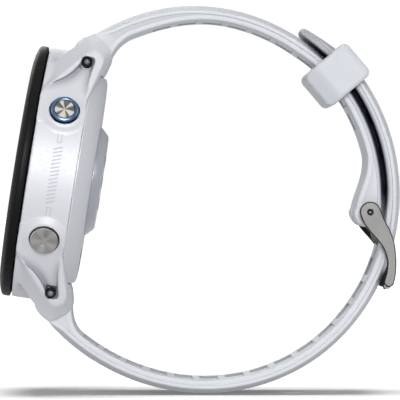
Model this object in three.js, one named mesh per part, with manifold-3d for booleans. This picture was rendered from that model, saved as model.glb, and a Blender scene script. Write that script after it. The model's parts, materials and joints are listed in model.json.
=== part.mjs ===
// GPS running watch with its silicone strap closed to a worn loop.
// Millimetres, +Z up. The watch stands on the strap: the dial faces -X, 12 o'clock is up,
// the 3 o'clock side faces -Y. The origin is on the ground under the middle of the loop.
import * as THREE from 'three';
import { mergeVertices } from 'three/addons/utils/BufferGeometryUtils.js';
import Module from 'manifold-3d';

const wasm = await Module();
wasm.setup();
const DEG = Math.PI / 180;

// ---- driving dimensions -------------------------------------------------------------
const strapWidth = 22;
const strapThickness = 2.75;
const gap = 0.3; // between pieces that touch

const loopCentre = new THREE.Vector2(-0.71, 36.69); // x, z of the middle of the strap loop
const shortStrapOuter = 34.65; // radius of the buckle-side strap's outer surface
const longStrapOuter = shortStrapOuter + gap + strapThickness;
const longStrapSag = 1.7; // the long strap lies this much closer in beside the case
const pocketEnd = 113 * DEG; // where the upper strap thickens into its end block

const caseCentre = new THREE.Vector2(-31.31, 40.95); // x, z of the bezel seam's centre
const caseTilt = 8.94 * DEG; // 12 o'clock leans back over the wrist
const caseRadius = 23.25;
const caseSides = 48; // facets round the case
const caseWall = 1.65;
const caseSideDepth = 8.75; // seam of the bezel to seam of the back cover
const backDepth = 11.6; // seam of the bezel to the flat back
const bezelHeight = 2.5;
const lensRadius = 19;
const notchDistance = 19; // flat behind the strap's end block
const notchDepth = 4.45;

const barAlong = 21.4; // spring bar's distance from the case centre
const barDepth = 7.4;
const lugInside = strapWidth / 2 + gap;
const valleyLean = 36.2 * DEG; // the floor of the valley in a lug's flank
const valleyDistance = 23.8;

const sensorBaseRadius = 10.2;
const sensorTopRadius = 8.7;
const sensorHeight = 1.6;
const screwCircle = 15.8;

const buttonAlong = 12.06; // buttons above and below the case's middle
const buttonDepth = 4.91;
const buttonFace = 21.3; // face of the upper and lower buttons, from the case's middle plane
const middleButtonFace = 24.2;
const buttonTurn = 24 * DEG; // upper and lower buttons point away from the middle one
const buttonRadius = 2.55;
const collarRadius = 3.65;
const buttonTravel = 0.5;

const pivotAngle = -5.8 * DEG; // buckle pin, seen from the middle of the loop
const bulbRadius = 2.8;
const pivotRadius = shortStrapOuter - bulbRadius;
const buckleInside = strapWidth / 2 + 0.35;
const buckleOutside = buckleInside + 2.05;
const pinRadius = 0.72;

const keeperAngle = 40.3 * DEG;
const keeperWidth = 7.6;
const keeperInner = 28.8;
const keeperOuter = 38.75;
const keeperHalfLength = 13.2;

// ---- materials ------------------------------------------------------------------------
function finish(color, roughness, metalness) {
  return new THREE.MeshStandardMaterial({ color, roughness, metalness });
}

const whitePolymer = () => finish(0xeceff3, 0.45, 0);
const silicone = () => finish(0xd6dae2, 0.7, 0);
const blackPolymer = () => finish(0x1b1b1d, 0.4, 0);
const blackRubber = () => finish(0x141416, 0.8, 0);
const steel = () => finish(0xa8abaf, 0.3, 1);
const darkSteel = () => finish(0x85857f, 0.35, 1);
const gold = () => finish(0xd8b25c, 0.3, 1);
const circuitBoard = () => finish(0x1f4a34, 0.6, 0);
const glass = () => finish(0x0c0e12, 0.08, 0);

// ---- shape helpers ----------------------------------------------------------------------
// A closed solid from a three.js geometry: shared corners merged, collapsed triangles dropped.
function solid(geometry) {
  const bare = geometry.clone();
  bare.deleteAttribute('normal');
  bare.deleteAttribute('uv');
  const merged = mergeVertices(bare, 1e-4);
  const index = merged.index.array;
  const kept = [];
  for (let i = 0; i < index.length; i += 3) {
    const [p, q, r] = [index[i], index[i + 1], index[i + 2]];
    if (p !== q && q !== r && r !== p) kept.push(p, q, r);
  }
  return new wasm.Manifold(new wasm.Mesh({
    numProp: 3,
    vertProperties: new Float32Array(merged.attributes.position.array),
    triVerts: new Uint32Array(kept),
  })).asOriginal();
}

function surface(body) {
  const mesh = body.asOriginal().getMesh();
  const geometry = new THREE.BufferGeometry();
  geometry.setAttribute('position', new THREE.BufferAttribute(mesh.vertProperties, 3));
  geometry.setIndex(new THREE.BufferAttribute(mesh.triVerts, 1));
  geometry.computeVertexNormals();
  return geometry;
}

// A round piece about the local Z axis, from a profile of [radius, z] points.
function turned(profile, segments = 36) {
  const last = profile[profile.length - 1];
  const closes = profile[0][0] > 0 || last[0] > 0;
  const loop = closes ? [...profile, profile[0]] : profile;
  let area = 0;
  for (let i = 0; i < loop.length; i += 1) {
    const [r0, z0] = loop[i];
    const [r1, z1] = loop[(i + 1) % loop.length];
    area += r0 * z1 - r1 * z0;
  }
  const points = loop.map(([r, z]) => new THREE.Vector2(r, z));
  if (area < 0) points.reverse();
  return new THREE.LatheGeometry(points, segments).rotateX(Math.PI / 2);
}

function disc(radius, low, high, segments = 24) {
  return turned([[0, low], [radius, low], [radius, high], [0, high]], segments);
}

function ring(inner, outer, low, high, segments = 36) {
  return turned([[inner, low], [outer, low], [outer, high], [inner, high]], segments);
}

function block(x0, x1, y0, y1, z0, z1) {
  const box = new THREE.BoxGeometry(x1 - x0, y1 - y0, z1 - z0);
  return box.translate((x0 + x1) / 2, (y0 + y1) / 2, (z0 + z1) / 2);
}

// An outline in the X-Z plane, carried along Y.
function slab(outline, y0, y1) {
  const shape = new THREE.Shape(outline);
  const geometry = new THREE.ExtrudeGeometry(shape, { depth: y1 - y0, bevelEnabled: false });
  return geometry.rotateX(Math.PI / 2).translate(0, y1, 0);
}

// A flat plate in the local X-Y plane.
function plate(outline, z0, z1) {
  const geometry = new THREE.ExtrudeGeometry(outline, { depth: z1 - z0, bevelEnabled: false });
  return geometry.translate(0, 0, z0);
}

function roundedRectangle(x0, x1, y0, y1, radius, steps = 5) {
  const corners = [
    [x1 - radius, y1 - radius, 0],
    [x0 + radius, y1 - radius, 90],
    [x0 + radius, y0 + radius, 180],
    [x1 - radius, y0 + radius, 270],
  ];
  const points = [];
  for (const [x, y, start] of corners) {
    for (let i = 0; i <= steps; i += 1) {
      const angle = (start + (90 * i) / steps) * DEG;
      points.push(new THREE.Vector2(x + radius * Math.cos(angle), y + radius * Math.sin(angle)));
    }
  }
  return points;
}

// ---- places -------------------------------------------------------------------------------
// A point of the case's side view: along 12 o'clock, and deep towards the wrist.
function casePoint(along, deep) {
  const x = caseCentre.x + along * Math.sin(caseTilt) + deep * Math.cos(caseTilt);
  const z = caseCentre.y + along * Math.cos(caseTilt) - deep * Math.sin(caseTilt);
  return new THREE.Vector2(x, z);
}

function loopPoint(radius, angle) {
  return new THREE.Vector2(
    loopCentre.x + radius * Math.cos(angle),
    loopCentre.y + radius * Math.sin(angle),
  );
}

function loopArc(radiusAt, from, to, steps) {
  const points = [];
  for (let i = 0; i <= steps; i += 1) {
    const angle = from + ((to - from) * i) / steps;
    points.push(loopPoint(radiusAt(angle), angle));
  }
  return points;
}

function bend(from, corner, to, steps) {
  return new THREE.QuadraticBezierCurve(from, corner, to).getPoints(steps).slice(1, -1);
}

const pivot = loopPoint(pivotRadius, pivotAngle);
const watch = new THREE.Group();

// The case's own frame: local X runs to 12 o'clock, local Y to 9 o'clock, local Z out of the dial.
const caseFrame = new THREE.Group();
caseFrame.position.set(caseCentre.x, 0, caseCentre.y);
caseFrame.rotation.y = caseTilt - Math.PI / 2;
watch.add(caseFrame);

function add(parent, name, geometry, material) {
  const mesh = new THREE.Mesh(geometry, material);
  mesh.name = name;
  parent.add(mesh);
  return mesh;
}

// ---- buttons: place of each, and the frame whose local Z is the button's axis --------------
const buttons = [
  { name: 'start', along: buttonAlong, face: buttonFace, side: -1, turn: buttonTurn },
  { name: 'back', along: -buttonAlong, face: buttonFace, side: -1, turn: -buttonTurn },
  { name: 'light', along: buttonAlong, face: buttonFace, side: 1, turn: buttonTurn },
  { name: 'up', along: 0, face: middleButtonFace, side: 1, turn: 0 },
  { name: 'down', along: -buttonAlong, face: buttonFace, side: 1, turn: -buttonTurn },
];

function placeButton(object, { along, face, side, turn }) {
  const outward = new THREE.Vector3(Math.sin(turn), side * Math.cos(turn), 0);
  const across = new THREE.Vector3(0, 0, 1);
  const third = new THREE.Vector3().crossVectors(outward, across);
  const matrix = new THREE.Matrix4().makeBasis(across, third, outward);
  matrix.setPosition(along, side * face, -buttonDepth);
  object.applyMatrix4(matrix);
  return object;
}

// Heights along a button's axis, measured from its face.
const capBottom = -1.7;
const boreBottom = capBottom - buttonTravel - 0.1;
const stemRadius = 1.2;
const stemEnd = -4.9;
const bossEnd = -4.2;

// ---- case ---------------------------------------------------------------------------------
// The part of space beyond a line in plan view, on one side and at one end of the case. The
// line's normal leans from straight sideways towards 12 or 6 o'clock.
function beyond(side, end, lean, distance) {
  const away = block(-80, 80, distance, distance + 80, -40, 40);
  return solid(away.rotateZ(side * (Math.PI / 2 - end * lean) - Math.PI / 2));
}

// A lug's flank is a flat that leaves the round case at a tangent.
function lug(side, end) {
  const outline = [
    [12, -0.9], [20.6, -0.9], [22.9, -2.7], [25.5, -5.6], [27, -7.8], [27, -9],
    [25.8, -10.1], [24.5, -11.2], [22.2, -11.5], [19.9, -10.9], [12, -8.7],
  ];
  const points = outline.map(([x, z]) => new THREE.Vector2(x * end, z));
  const [y0, y1] = side > 0 ? [lugInside, caseRadius] : [-caseRadius, -lugInside];
  return solid(slab(points, y0, y1)).subtract(beyond(side, end, buttonTurn, caseRadius - 0.05));
}

// The valley in a lug's flank runs from the spring bar's hole out towards the button.
function lugValley(side, end) {
  const outline = [
    [22.1, -6.7], [22.4, -7.6], [22.1, -8.5], [20.8, -8.8], [18.4, -8.3], [14.5, -8.4],
    [16.3, -2], [18.5, -4.8], [20.9, -6.3],
  ];
  const points = outline.map(([x, z]) => new THREE.Vector2(x * end, z));
  const [y0, y1] = side > 0 ? [lugInside, 30] : [-30, -lugInside];
  return solid(slab(points, y0, y1)).intersect(beyond(side, end, valleyLean, valleyDistance));
}

function barHole(end) {
  const hole = disc(1.05, -20, 20, 12).rotateX(Math.PI / 2);
  return solid(hole.translate(end * barAlong, 0, -barDepth));
}

function caseBody() {
  const inner = caseRadius - caseWall;
  const outerRadius = caseRadius + 0.15;
  let body = solid(disc(caseRadius, -caseSideDepth, -0.1, caseSides));
  for (const side of [-1, 1]) {
    for (const end of [-1, 1]) body = body.add(lug(side, end));
  }
  const backSpace = turned([[0, -14], [outerRadius, -14], [outerRadius, -caseSideDepth],
    [0, -caseSideDepth]], caseSides);
  body = body.subtract(solid(backSpace));
  // Room for the inner parts: a round front, and flats behind the strap's end blocks.
  const flats = notchDistance - 1.3;
  const front = solid(disc(inner, 1.3 - notchDepth, 1, caseSides));
  const middle = solid(disc(inner, -14, 0, caseSides)).intersect(solid(block(-flats, flats, -30, 30, -15, 1)));
  body = body.subtract(front).subtract(middle);
  for (const button of buttons) {
    body = body.add(solid(placeButton(disc(collarRadius, bossEnd, -0.15, 20), button)));
  }
  for (const end of [-1, 1]) {
    const [x0, x1] = end > 0 ? [notchDistance, 30] : [-30, -notchDistance];
    body = body.subtract(solid(block(x0, x1, -lugInside, lugInside, -14, -notchDepth)));
    body = body.subtract(barHole(end));
    for (const side of [-1, 1]) body = body.subtract(lugValley(side, end));
  }
  for (const button of buttons) {
    const bore = turned([[0, stemEnd], [stemRadius + 0.3, stemEnd], [stemRadius + 0.3, boreBottom],
      [buttonRadius + 0.25, boreBottom], [buttonRadius + 0.25, 2], [0, 2]], 20);
    body = body.subtract(solid(placeButton(bore, button)));
  }
  for (const [x, y] of screwPlaces()) {
    const boss = solid(disc(1.8, -caseSideDepth, -5.5, 16).translate(x, y, 0));
    const rib = block(0, 6.2, -0.8, 0.8, -caseSideDepth, -5.5);
    rib.rotateZ(Math.atan2(y, x)).translate(x, y, 0);
    const hole = solid(disc(0.95, -12, -6.2, 12).translate(x, y, 0));
    body = body.add(boss).add(solid(rib)).subtract(hole);
  }
  return body;
}

function screwPlaces() {
  return [45, 135, 225, 315].map((degrees) => [
    screwCircle * Math.cos(degrees * DEG),
    screwCircle * Math.sin(degrees * DEG),
  ]);
}

add(caseFrame, 'case_body', surface(caseBody()), whitePolymer());

add(caseFrame, 'bezel_ring', turned([
  [17.6, 0.2], [22.9, 0.2], [caseRadius, 0.5], [caseRadius, 1], [22.7, 1.8], [21.6, 2.35],
  [20.4, bezelHeight], [lensRadius + 0.25, 2.3], [lensRadius + 0.25, 0.8], [17.6, 0.8],
], caseSides), blackPolymer());
add(caseFrame, 'lens', turned([
  [0, 1.05], [lensRadius, 1.05], [lensRadius, 2.05], [lensRadius - 0.25, 2.25], [0, 2.25],
], caseSides), glass());
add(caseFrame, 'lens_gasket', ring(17.8, 18.7, 0.87, 0.97), blackRubber());
add(caseFrame, 'display_module', turned([
  [0, -0.9], [15, -0.9], [15, -0.4], [17.2, -0.4], [17.2, 0.75], [0, 0.75],
]), blackPolymer());

const frameShape = new THREE.Shape(roundedRectangle(-20, 20, -20, 20, 19.9, 12));
frameShape.holes.push(new THREE.Path(roundedRectangle(-15, 15, -15, 15, 14.9, 9)));
add(caseFrame, 'inner_frame', plate(frameShape, -2.1, -1.2), blackPolymer());

const boardShape = new THREE.Shape(roundedRectangle(-18.5, 18.5, -18.5, 18.5, 18.4, 12));
add(caseFrame, 'main_board', plate(boardShape, -3.1, -2.4), circuitBoard());
const shieldShape = new THREE.Shape(roundedRectangle(-7, 7, -8, 4, 0.8, 3));
add(caseFrame, 'processor_shield', plate(shieldShape, -4.5, -3.3), steel());

// The antenna is an open band round the display, under the bezel.
const antennaShape = new THREE.Shape();
antennaShape.absarc(0, 0, 21.2, 20 * DEG, 340 * DEG, false);
antennaShape.absarc(0, 0, 20.4, 340 * DEG, 20 * DEG, true);
add(caseFrame, 'gps_antenna', plate(antennaShape, -0.95, -0.25), gold());

const batteryShape = new THREE.Shape(roundedRectangle(-8.8, 8.8, -13, 13, 2, 4));
add(caseFrame, 'battery', plate(batteryShape, -9.3, -4.9), steel());
add(caseFrame, 'vibration_motor', disc(4, -8, -5.2).translate(13.2, 0, 0), steel());
add(caseFrame, 'piezo_buzzer', disc(4, -7, -6.3).translate(-13.2, 0, 0), gold());

// ---- back -----------------------------------------------------------------------------------
const coverRim = caseSideDepth + 0.25;

function cutFlats(body, distance) {
  let result = body;
  for (const [x0, x1] of [[distance, 30], [-30, -distance]]) {
    result = result.subtract(solid(block(x0, x1, -lugInside, lugInside, -15, 5)));
  }
  return result;
}

function backCover() {
  let cover = solid(turned([
    [8.6, -backDepth], [18, -backDepth], [20, -10.9], [caseRadius - 0.05, -coverRim],
    [21.2, -coverRim], [19.6, -10], [8.6, -10.6],
  ], caseSides));
  cover = cutFlats(cover, notchDistance);
  for (const [x, y] of screwPlaces()) {
    cover = cover.subtract(solid(disc(1.6, -12, -11, 16).translate(x, y, 0)));
    cover = cover.subtract(solid(disc(1, -12, -9, 12).translate(x, y, 0)));
  }
  return cover.subtract(solid(plate(portShape(0.25), -12, -9)));
}

function portShape(margin) {
  const halfLength = 4.2 + margin;
  return new THREE.Shape(roundedRectangle(-17 - margin, -12.6 + margin, -halfLength, halfLength, 1.6, 4));
}

add(caseFrame, 'back_cover', surface(backCover()), whitePolymer());
add(caseFrame, 'back_gasket', ring(17.9, 18.6, -9.9, -8.9), blackRubber());
screwPlaces().forEach(([x, y], i) => {
  const screw = turned([
    [0, -11.15], [0.5, -11.15], [0.5, -11.5], [1.3, -11.5], [1.3, -11.1], [0.7, -11.1],
    [0.7, -6.6], [0, -6.6],
  ], 12);
  add(caseFrame, `back_screw_${i + 1}`, screw.translate(x, y, 0), darkSteel());
});

const bump = backDepth + 0.15;
add(caseFrame, 'sensor_window', turned([
  [0, -bump - sensorHeight], [sensorTopRadius, -bump - sensorHeight], [sensorBaseRadius, -bump],
  [8.2, -bump], [8.2, -10.8], [0, -10.8],
]), glass());
add(caseFrame, 'sensor_board', disc(9.4, -10.3, -9.6, 32), circuitBoard());

const port = solid(plate(portShape(0), -backDepth, -9.7));
const contactPlaces = [-2.4, -0.8, 0.8, 2.4];
const plugRecess = solid(plate(
  new THREE.Shape(roundedRectangle(-16.3, -13.3, -3.5, 3.5, 1, 4)), -12, -10.9,
));
let portBody = port.subtract(plugRecess);
for (const y of contactPlaces) {
  portBody = portBody.subtract(solid(disc(0.6, -12, -9, 12).translate(-14.8, y, 0)));
}
add(caseFrame, 'charging_port', surface(portBody), blackPolymer());
contactPlaces.forEach((y, i) => {
  add(caseFrame, `charge_contact_${i + 1}`, disc(0.4, -11.2, -9.8, 12).translate(-14.8, y, 0), gold());
});

// ---- buttons ----------------------------------------------------------------------------------
function buttonCap() {
  return turned([
    [0, stemEnd], [stemRadius, stemEnd], [stemRadius, capBottom], [buttonRadius, capBottom],
    [buttonRadius, -0.25], [buttonRadius - 0.25, 0], [0, 0],
  ], 24);
}

// The start button's face is a small disc inside a coloured ring.
function startCap() {
  return turned([
    [0, stemEnd], [stemRadius, stemEnd], [stemRadius, capBottom], [buttonRadius, capBottom],
    [buttonRadius, -1.2], [1.9, -1.2], [1.9, 0], [0, 0],
  ], 24);
}

for (const button of buttons) {
  const isStart = button.name === 'start';
  const cap = isStart ? startCap() : buttonCap();
  add(caseFrame, `${button.name}_button`, placeButton(cap, button), steel());
  if (isStart) {
    const trim = turned([[2, -1.1], [buttonRadius, -1.1], [buttonRadius, -0.15], [2.3, 0.1],
      [2, 0.1]], 24);
    add(caseFrame, 'start_button_ring', placeButton(trim, button), finish(0x4f7fb4, 0.3, 1));
  }
  const seal = ring(stemRadius + 0.15, 2.1, stemEnd, bossEnd - 0.1, 16);
  add(caseFrame, `${button.name}_seal`, placeButton(seal, button), blackRubber());
  const tact = block(-1.4, 1.4, -1.75, 1.75, -7, stemEnd - buttonTravel - 0.15);
  add(caseFrame, `${button.name}_switch`, placeButton(tact, button), blackPolymer());
}

// ---- spring bars with quick-release pins --------------------------------------------------------
const barRadius = 0.95;
const tubeStart = -10;
const tubeEnd = 10.6;
const knobPlace = -8.2;
const pinEnd = lugInside + 1.4;
const releaseTravel = 1.6;

function alongBar(radius, y0, y1, segments = 12) {
  return disc(radius, -y1, -y0, segments).rotateX(Math.PI / 2);
}

for (const [name, end] of [['upper', 1], ['lower', -1]]) {
  const slotStart = knobPlace - 0.7;
  const slotEnd = knobPlace + releaseTravel + 0.7;
  const tube = solid(alongBar(barRadius, tubeStart, tubeEnd))
    .add(solid(alongBar(0.5, tubeEnd - 1, pinEnd)))
    .subtract(solid(alongBar(0.62, tubeStart - 1, -4)))
    .subtract(solid(block(-0.62, 0.62, slotStart, slotEnd, -2, 0)));
  const pin = solid(alongBar(0.45, -pinEnd, -5.8))
    .add(solid(disc(0.38, -3.2, 0, 12).translate(0, knobPlace, 0)))
    .add(solid(disc(0.8, -3.5, -2.9, 16).translate(0, knobPlace, 0)));
  const place = [end * barAlong, 0, -barDepth];
  add(caseFrame, `${name}_bar_tube`, surface(tube).translate(...place), steel());
  add(caseFrame, `${name}_bar_pin`, surface(pin).translate(...place), steel());
}

// ---- straps ---------------------------------------------------------------------------------------
const blockDistance = notchDistance + gap;
const blockFront = notchDepth + gap;

// The end block fills the space between the lugs; its outline runs from the flat behind it,
// over the front, to where the strap's outer surface starts at the lugs' tips.
function blockFrontPoints(end) {
  return [[blockDistance, blockFront], [24.2, blockFront], [25.4, 5.75], [26.7, 7.9]]
    .map(([along, deep]) => casePoint(end * along, deep));
}

function blockBackPoints(end) {
  return [[22.5, 11.35], [20.4, 10.95], [blockDistance, 10.5]]
    .map(([along, deep]) => casePoint(end * along, deep));
}

function shortOuterAt(angle) {
  return shortStrapOuter + 0.25 * THREE.MathUtils.smoothstep(angle, 60 * DEG, 100 * DEG);
}

// The buckle end swells inwards to wrap the buckle's pin.
function shortInnerAt(angle) {
  const swell = 1 - THREE.MathUtils.smoothstep(angle, pivotAngle, 14 * DEG);
  const plain = shortOuterAt(angle) - strapThickness;
  return plain - (2 * bulbRadius - strapThickness) * swell;
}

function upperStrapOutline() {
  const bulb = [];
  for (let i = 1; i < 10; i += 1) {
    const angle = pivotAngle - (i * Math.PI) / 10;
    bulb.push(new THREE.Vector2(
      pivot.x + bulbRadius * Math.cos(angle),
      pivot.y + bulbRadius * Math.sin(angle),
    ));
  }
  const back = blockBackPoints(1);
  const inner = loopArc(shortInnerAt, pivotAngle, pocketEnd, 34);
  return [
    ...blockFrontPoints(1),
    ...loopArc(shortOuterAt, 121 * DEG, pivotAngle, 36),
    ...bulb,
    ...inner,
    ...bend(inner[inner.length - 1], loopPoint(31.9, 117.5 * DEG), back[0], 4),
    ...back,
  ];
}

function longOuterAt(angle) {
  return longStrapOuter
    - longStrapSag * (1 - THREE.MathUtils.smoothstep(angle, -125 * DEG, -42 * DEG));
}

function longInnerAt(angle) {
  return longOuterAt(angle) - strapThickness;
}

function lowerStrapOutline() {
  const taper = 46 * DEG;
  const tip = 57.5 * DEG;
  const outer = loopArc(longOuterAt, -139 * DEG, taper, 44);
  const inner = loopArc(longInnerAt, taper, -129.5 * DEG, 42);
  const back = blockBackPoints(-1);
  const tipOuter = loopPoint(36.7, tip - 0.9 * DEG);
  const tipInner = loopPoint(35.25, tip - 0.9 * DEG);
  return [
    ...blockFrontPoints(-1),
    ...outer,
    ...bend(outer[outer.length - 1], loopPoint(longStrapOuter, taper + 6 * DEG), tipOuter, 4),
    tipOuter,
    loopPoint(36.35, tip),
    loopPoint(35.6, tip),
    tipInner,
    ...bend(tipInner, loopPoint(35, taper + 5 * DEG), inner[0], 3),
    ...inner,
    ...bend(inner[inner.length - 1], loopPoint(33.3, -134 * DEG), back[0], 4),
    ...back,
  ];
}

// A block placed about the loop: radial, across the strap, and along the strap.
function loopBlock(r0, r1, y0, y1, along, angle) {
  const box = block(r0, r1, y0, y1, -along / 2, along / 2);
  return solid(box.rotateY(-angle).translate(loopCentre.x, 0, loopCentre.y));
}

// Room in an end block for the spring bar, the release knob and the finger nail.
function barRoom(end) {
  const place = [end * barAlong, 0, -barDepth];
  const bore = alongBar(barRadius + 0.2, -15, 15).translate(...place);
  const knobRoom = block(-1.2, 1.2, knobPlace - 1.1, knobPlace + releaseTravel + 1.1, -6, 0);
  const nailRoom = block(-1.2, 1.2, -12, knobPlace + releaseTravel + 1.1, -6, -2.6);
  knobRoom.translate(...place);
  nailRoom.translate(...place);
  let room = solid(bore).add(solid(knobRoom)).add(solid(nailRoom));
  room = room.rotate([0, -90 + caseTilt / DEG, 0]);
  return room.translate([caseCentre.x, 0, caseCentre.y]);
}

const tongueHoleAngle = -15.5 * DEG;
const holePitch = 11.2 * DEG;
const holeLength = 5.2;
const holeWidth = 3;

function upperStrap() {
  const half = strapWidth / 2;
  const tongueSlot = 1.55;
  const slotTop = pivotAngle + 4.3 * DEG;
  const slotOutline = [
    ...loopArc(() => 40, slotTop, slotTop - 14 * DEG, 2),
    ...loopArc(() => 25, slotTop - 14 * DEG, slotTop, 2),
  ];
  const pinBore = alongBar(pinRadius + 0.2, -15, 15).translate(pivot.x, 0, pivot.y);
  return solid(slab(upperStrapOutline(), -half, half))
    .subtract(solid(slab(slotOutline, -tongueSlot, tongueSlot)))
    .subtract(solid(pinBore))
    .subtract(barRoom(1));
}

function lowerStrap() {
  const half = strapWidth / 2;
  let strap = solid(slab(lowerStrapOutline(), -half, half)).subtract(barRoom(-1));
  for (let k = -4; k <= 5; k += 1) {
    const angle = tongueHoleAngle + k * holePitch;
    strap = strap.subtract(loopBlock(30, 42, -holeWidth / 2, holeWidth / 2, holeLength, angle));
  }
  return strap;
}

add(watch, 'upper_strap', surface(upperStrap()), silicone());
add(watch, 'lower_strap', surface(lowerStrap()), silicone());

// ---- keeper -----------------------------------------------------------------------------------------
function keeper() {
  const half = keeperWidth / 2;
  const side = roundedRectangle(keeperInner, keeperOuter, -half, half, 1.3, 4);
  const outside = solid(slab(side, -keeperHalfLength, keeperHalfLength)
    .rotateY(-keeperAngle).translate(loopCentre.x, 0, loopCentre.y));
  const low = shortStrapOuter - strapThickness - 0.5;
  const high = longStrapOuter + 0.25;
  const across = strapWidth / 2 + 0.35;
  return outside.subtract(loopBlock(low, high, -across, across, keeperWidth + 2, keeperAngle));
}

add(watch, 'keeper', surface(keeper()), silicone());

// ---- buckle -----------------------------------------------------------------------------------------
const crossbarAngle = -24.3 * DEG;
const crossbarInner = longStrapOuter + 0.3;
const crossbarOuter = crossbarInner + 1.25;
const crossbarSpread = 2.3 * DEG;

// One arm, seen from the side: round at the pin, slim in the middle, bowed to the crossbar.
function armOutline() {
  const points = [];
  for (let i = 0; i <= 8; i += 1) {
    const angle = (200 - 22 * i) * DEG;
    points.push(new THREE.Vector2(
      pivot.x + 1.9 * Math.cos(angle),
      pivot.y + 1.9 * Math.sin(angle),
    ));
  }
  const low = crossbarAngle - crossbarSpread;
  const outerStart = points[points.length - 1];
  const outerEnd = loopPoint(crossbarOuter, crossbarAngle + 1.2 * DEG);
  const innerEnd = points[0];
  const innerStart = loopPoint(crossbarInner, low + 2 * DEG);
  const outerCorner = new THREE.Vector2(pivot.x + 5.5, pivot.y - 6.2);
  const innerCorner = new THREE.Vector2(pivot.x + 3.7, pivot.y - 7);
  return [
    ...points,
    ...bend(outerStart, outerCorner, outerEnd, 8),
    outerEnd,
    loopPoint(crossbarOuter - 0.3, low),
    loopPoint(crossbarInner + 0.2, low),
    ...bend(innerStart, innerCorner, innerEnd, 8),
  ];
}

function crossbarOutline() {
  const low = crossbarAngle - crossbarSpread;
  const high = crossbarAngle + crossbarSpread;
  return [
    loopPoint(crossbarInner, low),
    loopPoint(crossbarOuter - 0.3, low),
    loopPoint(crossbarOuter, low + 0.5 * DEG),
    loopPoint(crossbarOuter, high - 0.5 * DEG),
    loopPoint(crossbarOuter - 0.3, high),
    loopPoint(crossbarInner, high),
  ];
}

function buckleFrame() {
  const arm = armOutline();
  const restNotch = loopBlock(crossbarOuter - 0.6, 45, -1.5, 1.5, 8, crossbarAngle);
  return solid(slab(arm, buckleInside, buckleOutside))
    .add(solid(slab(arm, -buckleOutside, -buckleInside)))
    .add(solid(slab(crossbarOutline(), -buckleOutside, buckleOutside)))
    .subtract(solid(alongBar(pinRadius + 0.25, -20, 20, 24).translate(pivot.x, 0, pivot.y)))
    .subtract(restNotch);
}

// The tongue lies under the long strap, turns out through a hole, and rests on the crossbar.
function buckleTongue() {
  const route = new THREE.SplineCurve([
    loopPoint(pivotRadius + 1.15, pivotAngle),
    loopPoint(33.75, -11.2 * DEG),
    loopPoint(34.9, -14.9 * DEG),
    loopPoint(37.6, -17.2 * DEG),
    loopPoint(crossbarOuter + 0.1, -20.5 * DEG),
    loopPoint(crossbarOuter + 0.1, -26.4 * DEG),
  ]);
  const steps = 22;
  const half = 0.5;
  const [left, right] = [[], []];
  for (let i = 0; i <= steps; i += 1) {
    const t = i / steps;
    const point = route.getPoint(t);
    const heading = route.getTangent(t);
    const reach = i === steps ? half * 0.6 : half;
    left.push(new THREE.Vector2(point.x - heading.y * reach, point.y + heading.x * reach));
    right.unshift(new THREE.Vector2(point.x + heading.y * reach, point.y - heading.x * reach));
  }
  const eye = alongBar(1.65, -1.1, 1.1, 24).translate(pivot.x, 0, pivot.y);
  const bore = alongBar(pinRadius + 0.2, -3, 3, 24).translate(pivot.x, 0, pivot.y);
  return solid(slab([...left, ...right], -1.1, 1.1)).add(solid(eye)).subtract(solid(bore));
}

add(watch, 'buckle_frame', surface(buckleFrame()), darkSteel());
add(watch, 'buckle_tongue', surface(buckleTongue()), darkSteel());
add(watch, 'buckle_pin', alongBar(pinRadius, -13.1, 13.1, 20).translate(pivot.x, 0, pivot.y), steel());

export default watch;
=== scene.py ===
import json
import math

import bmesh
import bpy
import numpy as np
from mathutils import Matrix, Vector
from mathutils.geometry import tessellate_polygon


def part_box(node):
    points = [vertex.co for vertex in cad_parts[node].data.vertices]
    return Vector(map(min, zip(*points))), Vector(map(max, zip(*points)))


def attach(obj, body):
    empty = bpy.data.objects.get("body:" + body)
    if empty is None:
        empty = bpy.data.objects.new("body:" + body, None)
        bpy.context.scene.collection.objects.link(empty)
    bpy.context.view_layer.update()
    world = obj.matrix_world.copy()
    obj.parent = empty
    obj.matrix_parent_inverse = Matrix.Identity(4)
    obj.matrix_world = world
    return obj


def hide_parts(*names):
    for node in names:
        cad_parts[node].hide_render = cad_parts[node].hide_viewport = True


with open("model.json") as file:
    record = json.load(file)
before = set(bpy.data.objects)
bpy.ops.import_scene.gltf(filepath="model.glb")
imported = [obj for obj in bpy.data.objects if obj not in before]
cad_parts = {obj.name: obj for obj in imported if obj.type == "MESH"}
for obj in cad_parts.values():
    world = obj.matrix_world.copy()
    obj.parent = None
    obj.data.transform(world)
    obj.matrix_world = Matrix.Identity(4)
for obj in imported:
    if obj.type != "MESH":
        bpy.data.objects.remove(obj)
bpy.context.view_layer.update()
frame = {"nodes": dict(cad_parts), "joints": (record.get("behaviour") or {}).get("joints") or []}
scene = bpy.context.scene


def add_object(name, data):
    new = bpy.data.objects.new(name, data)
    scene.collection.objects.link(new)
    return new


# Shapes are worked out in millimetres and turned into metres when a mesh is made.
MM = 0.001
DEG = math.pi / 180


def joint_place(name):
    return next(np.array(j["pos_m"]) / MM for j in frame["joints"] if j["name"] == name)


# ---- frames of reference ----
# The case is tilted in the standing loop. Its own axes: 12 o'clock, 9 o'clock, out of the dial.
CASE_TILT = 8.94 * DEG
LENS_MIDDLE = 1.65  # height of the lens's middle above the case's own origin
CASE_AXES = np.array([
    [math.sin(CASE_TILT), 0, math.cos(CASE_TILT)],
    [0, 1, 0],
    [-math.cos(CASE_TILT), 0, math.sin(CASE_TILT)],
])
CASE = np.sum(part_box("lens"), axis=0) / 2 / MM - LENS_MIDDLE * CASE_AXES[2]
LOOP = joint_place("keeper_slide")
PIVOT = joint_place("buckle_swing")


def from_case(points):
    return CASE + np.asarray(points, float) @ CASE_AXES


def case_point(along, deep):
    """A point of the case's middle plane, as (x, z)."""
    return from_case([along, 0, -deep])[[0, 2]]


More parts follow.
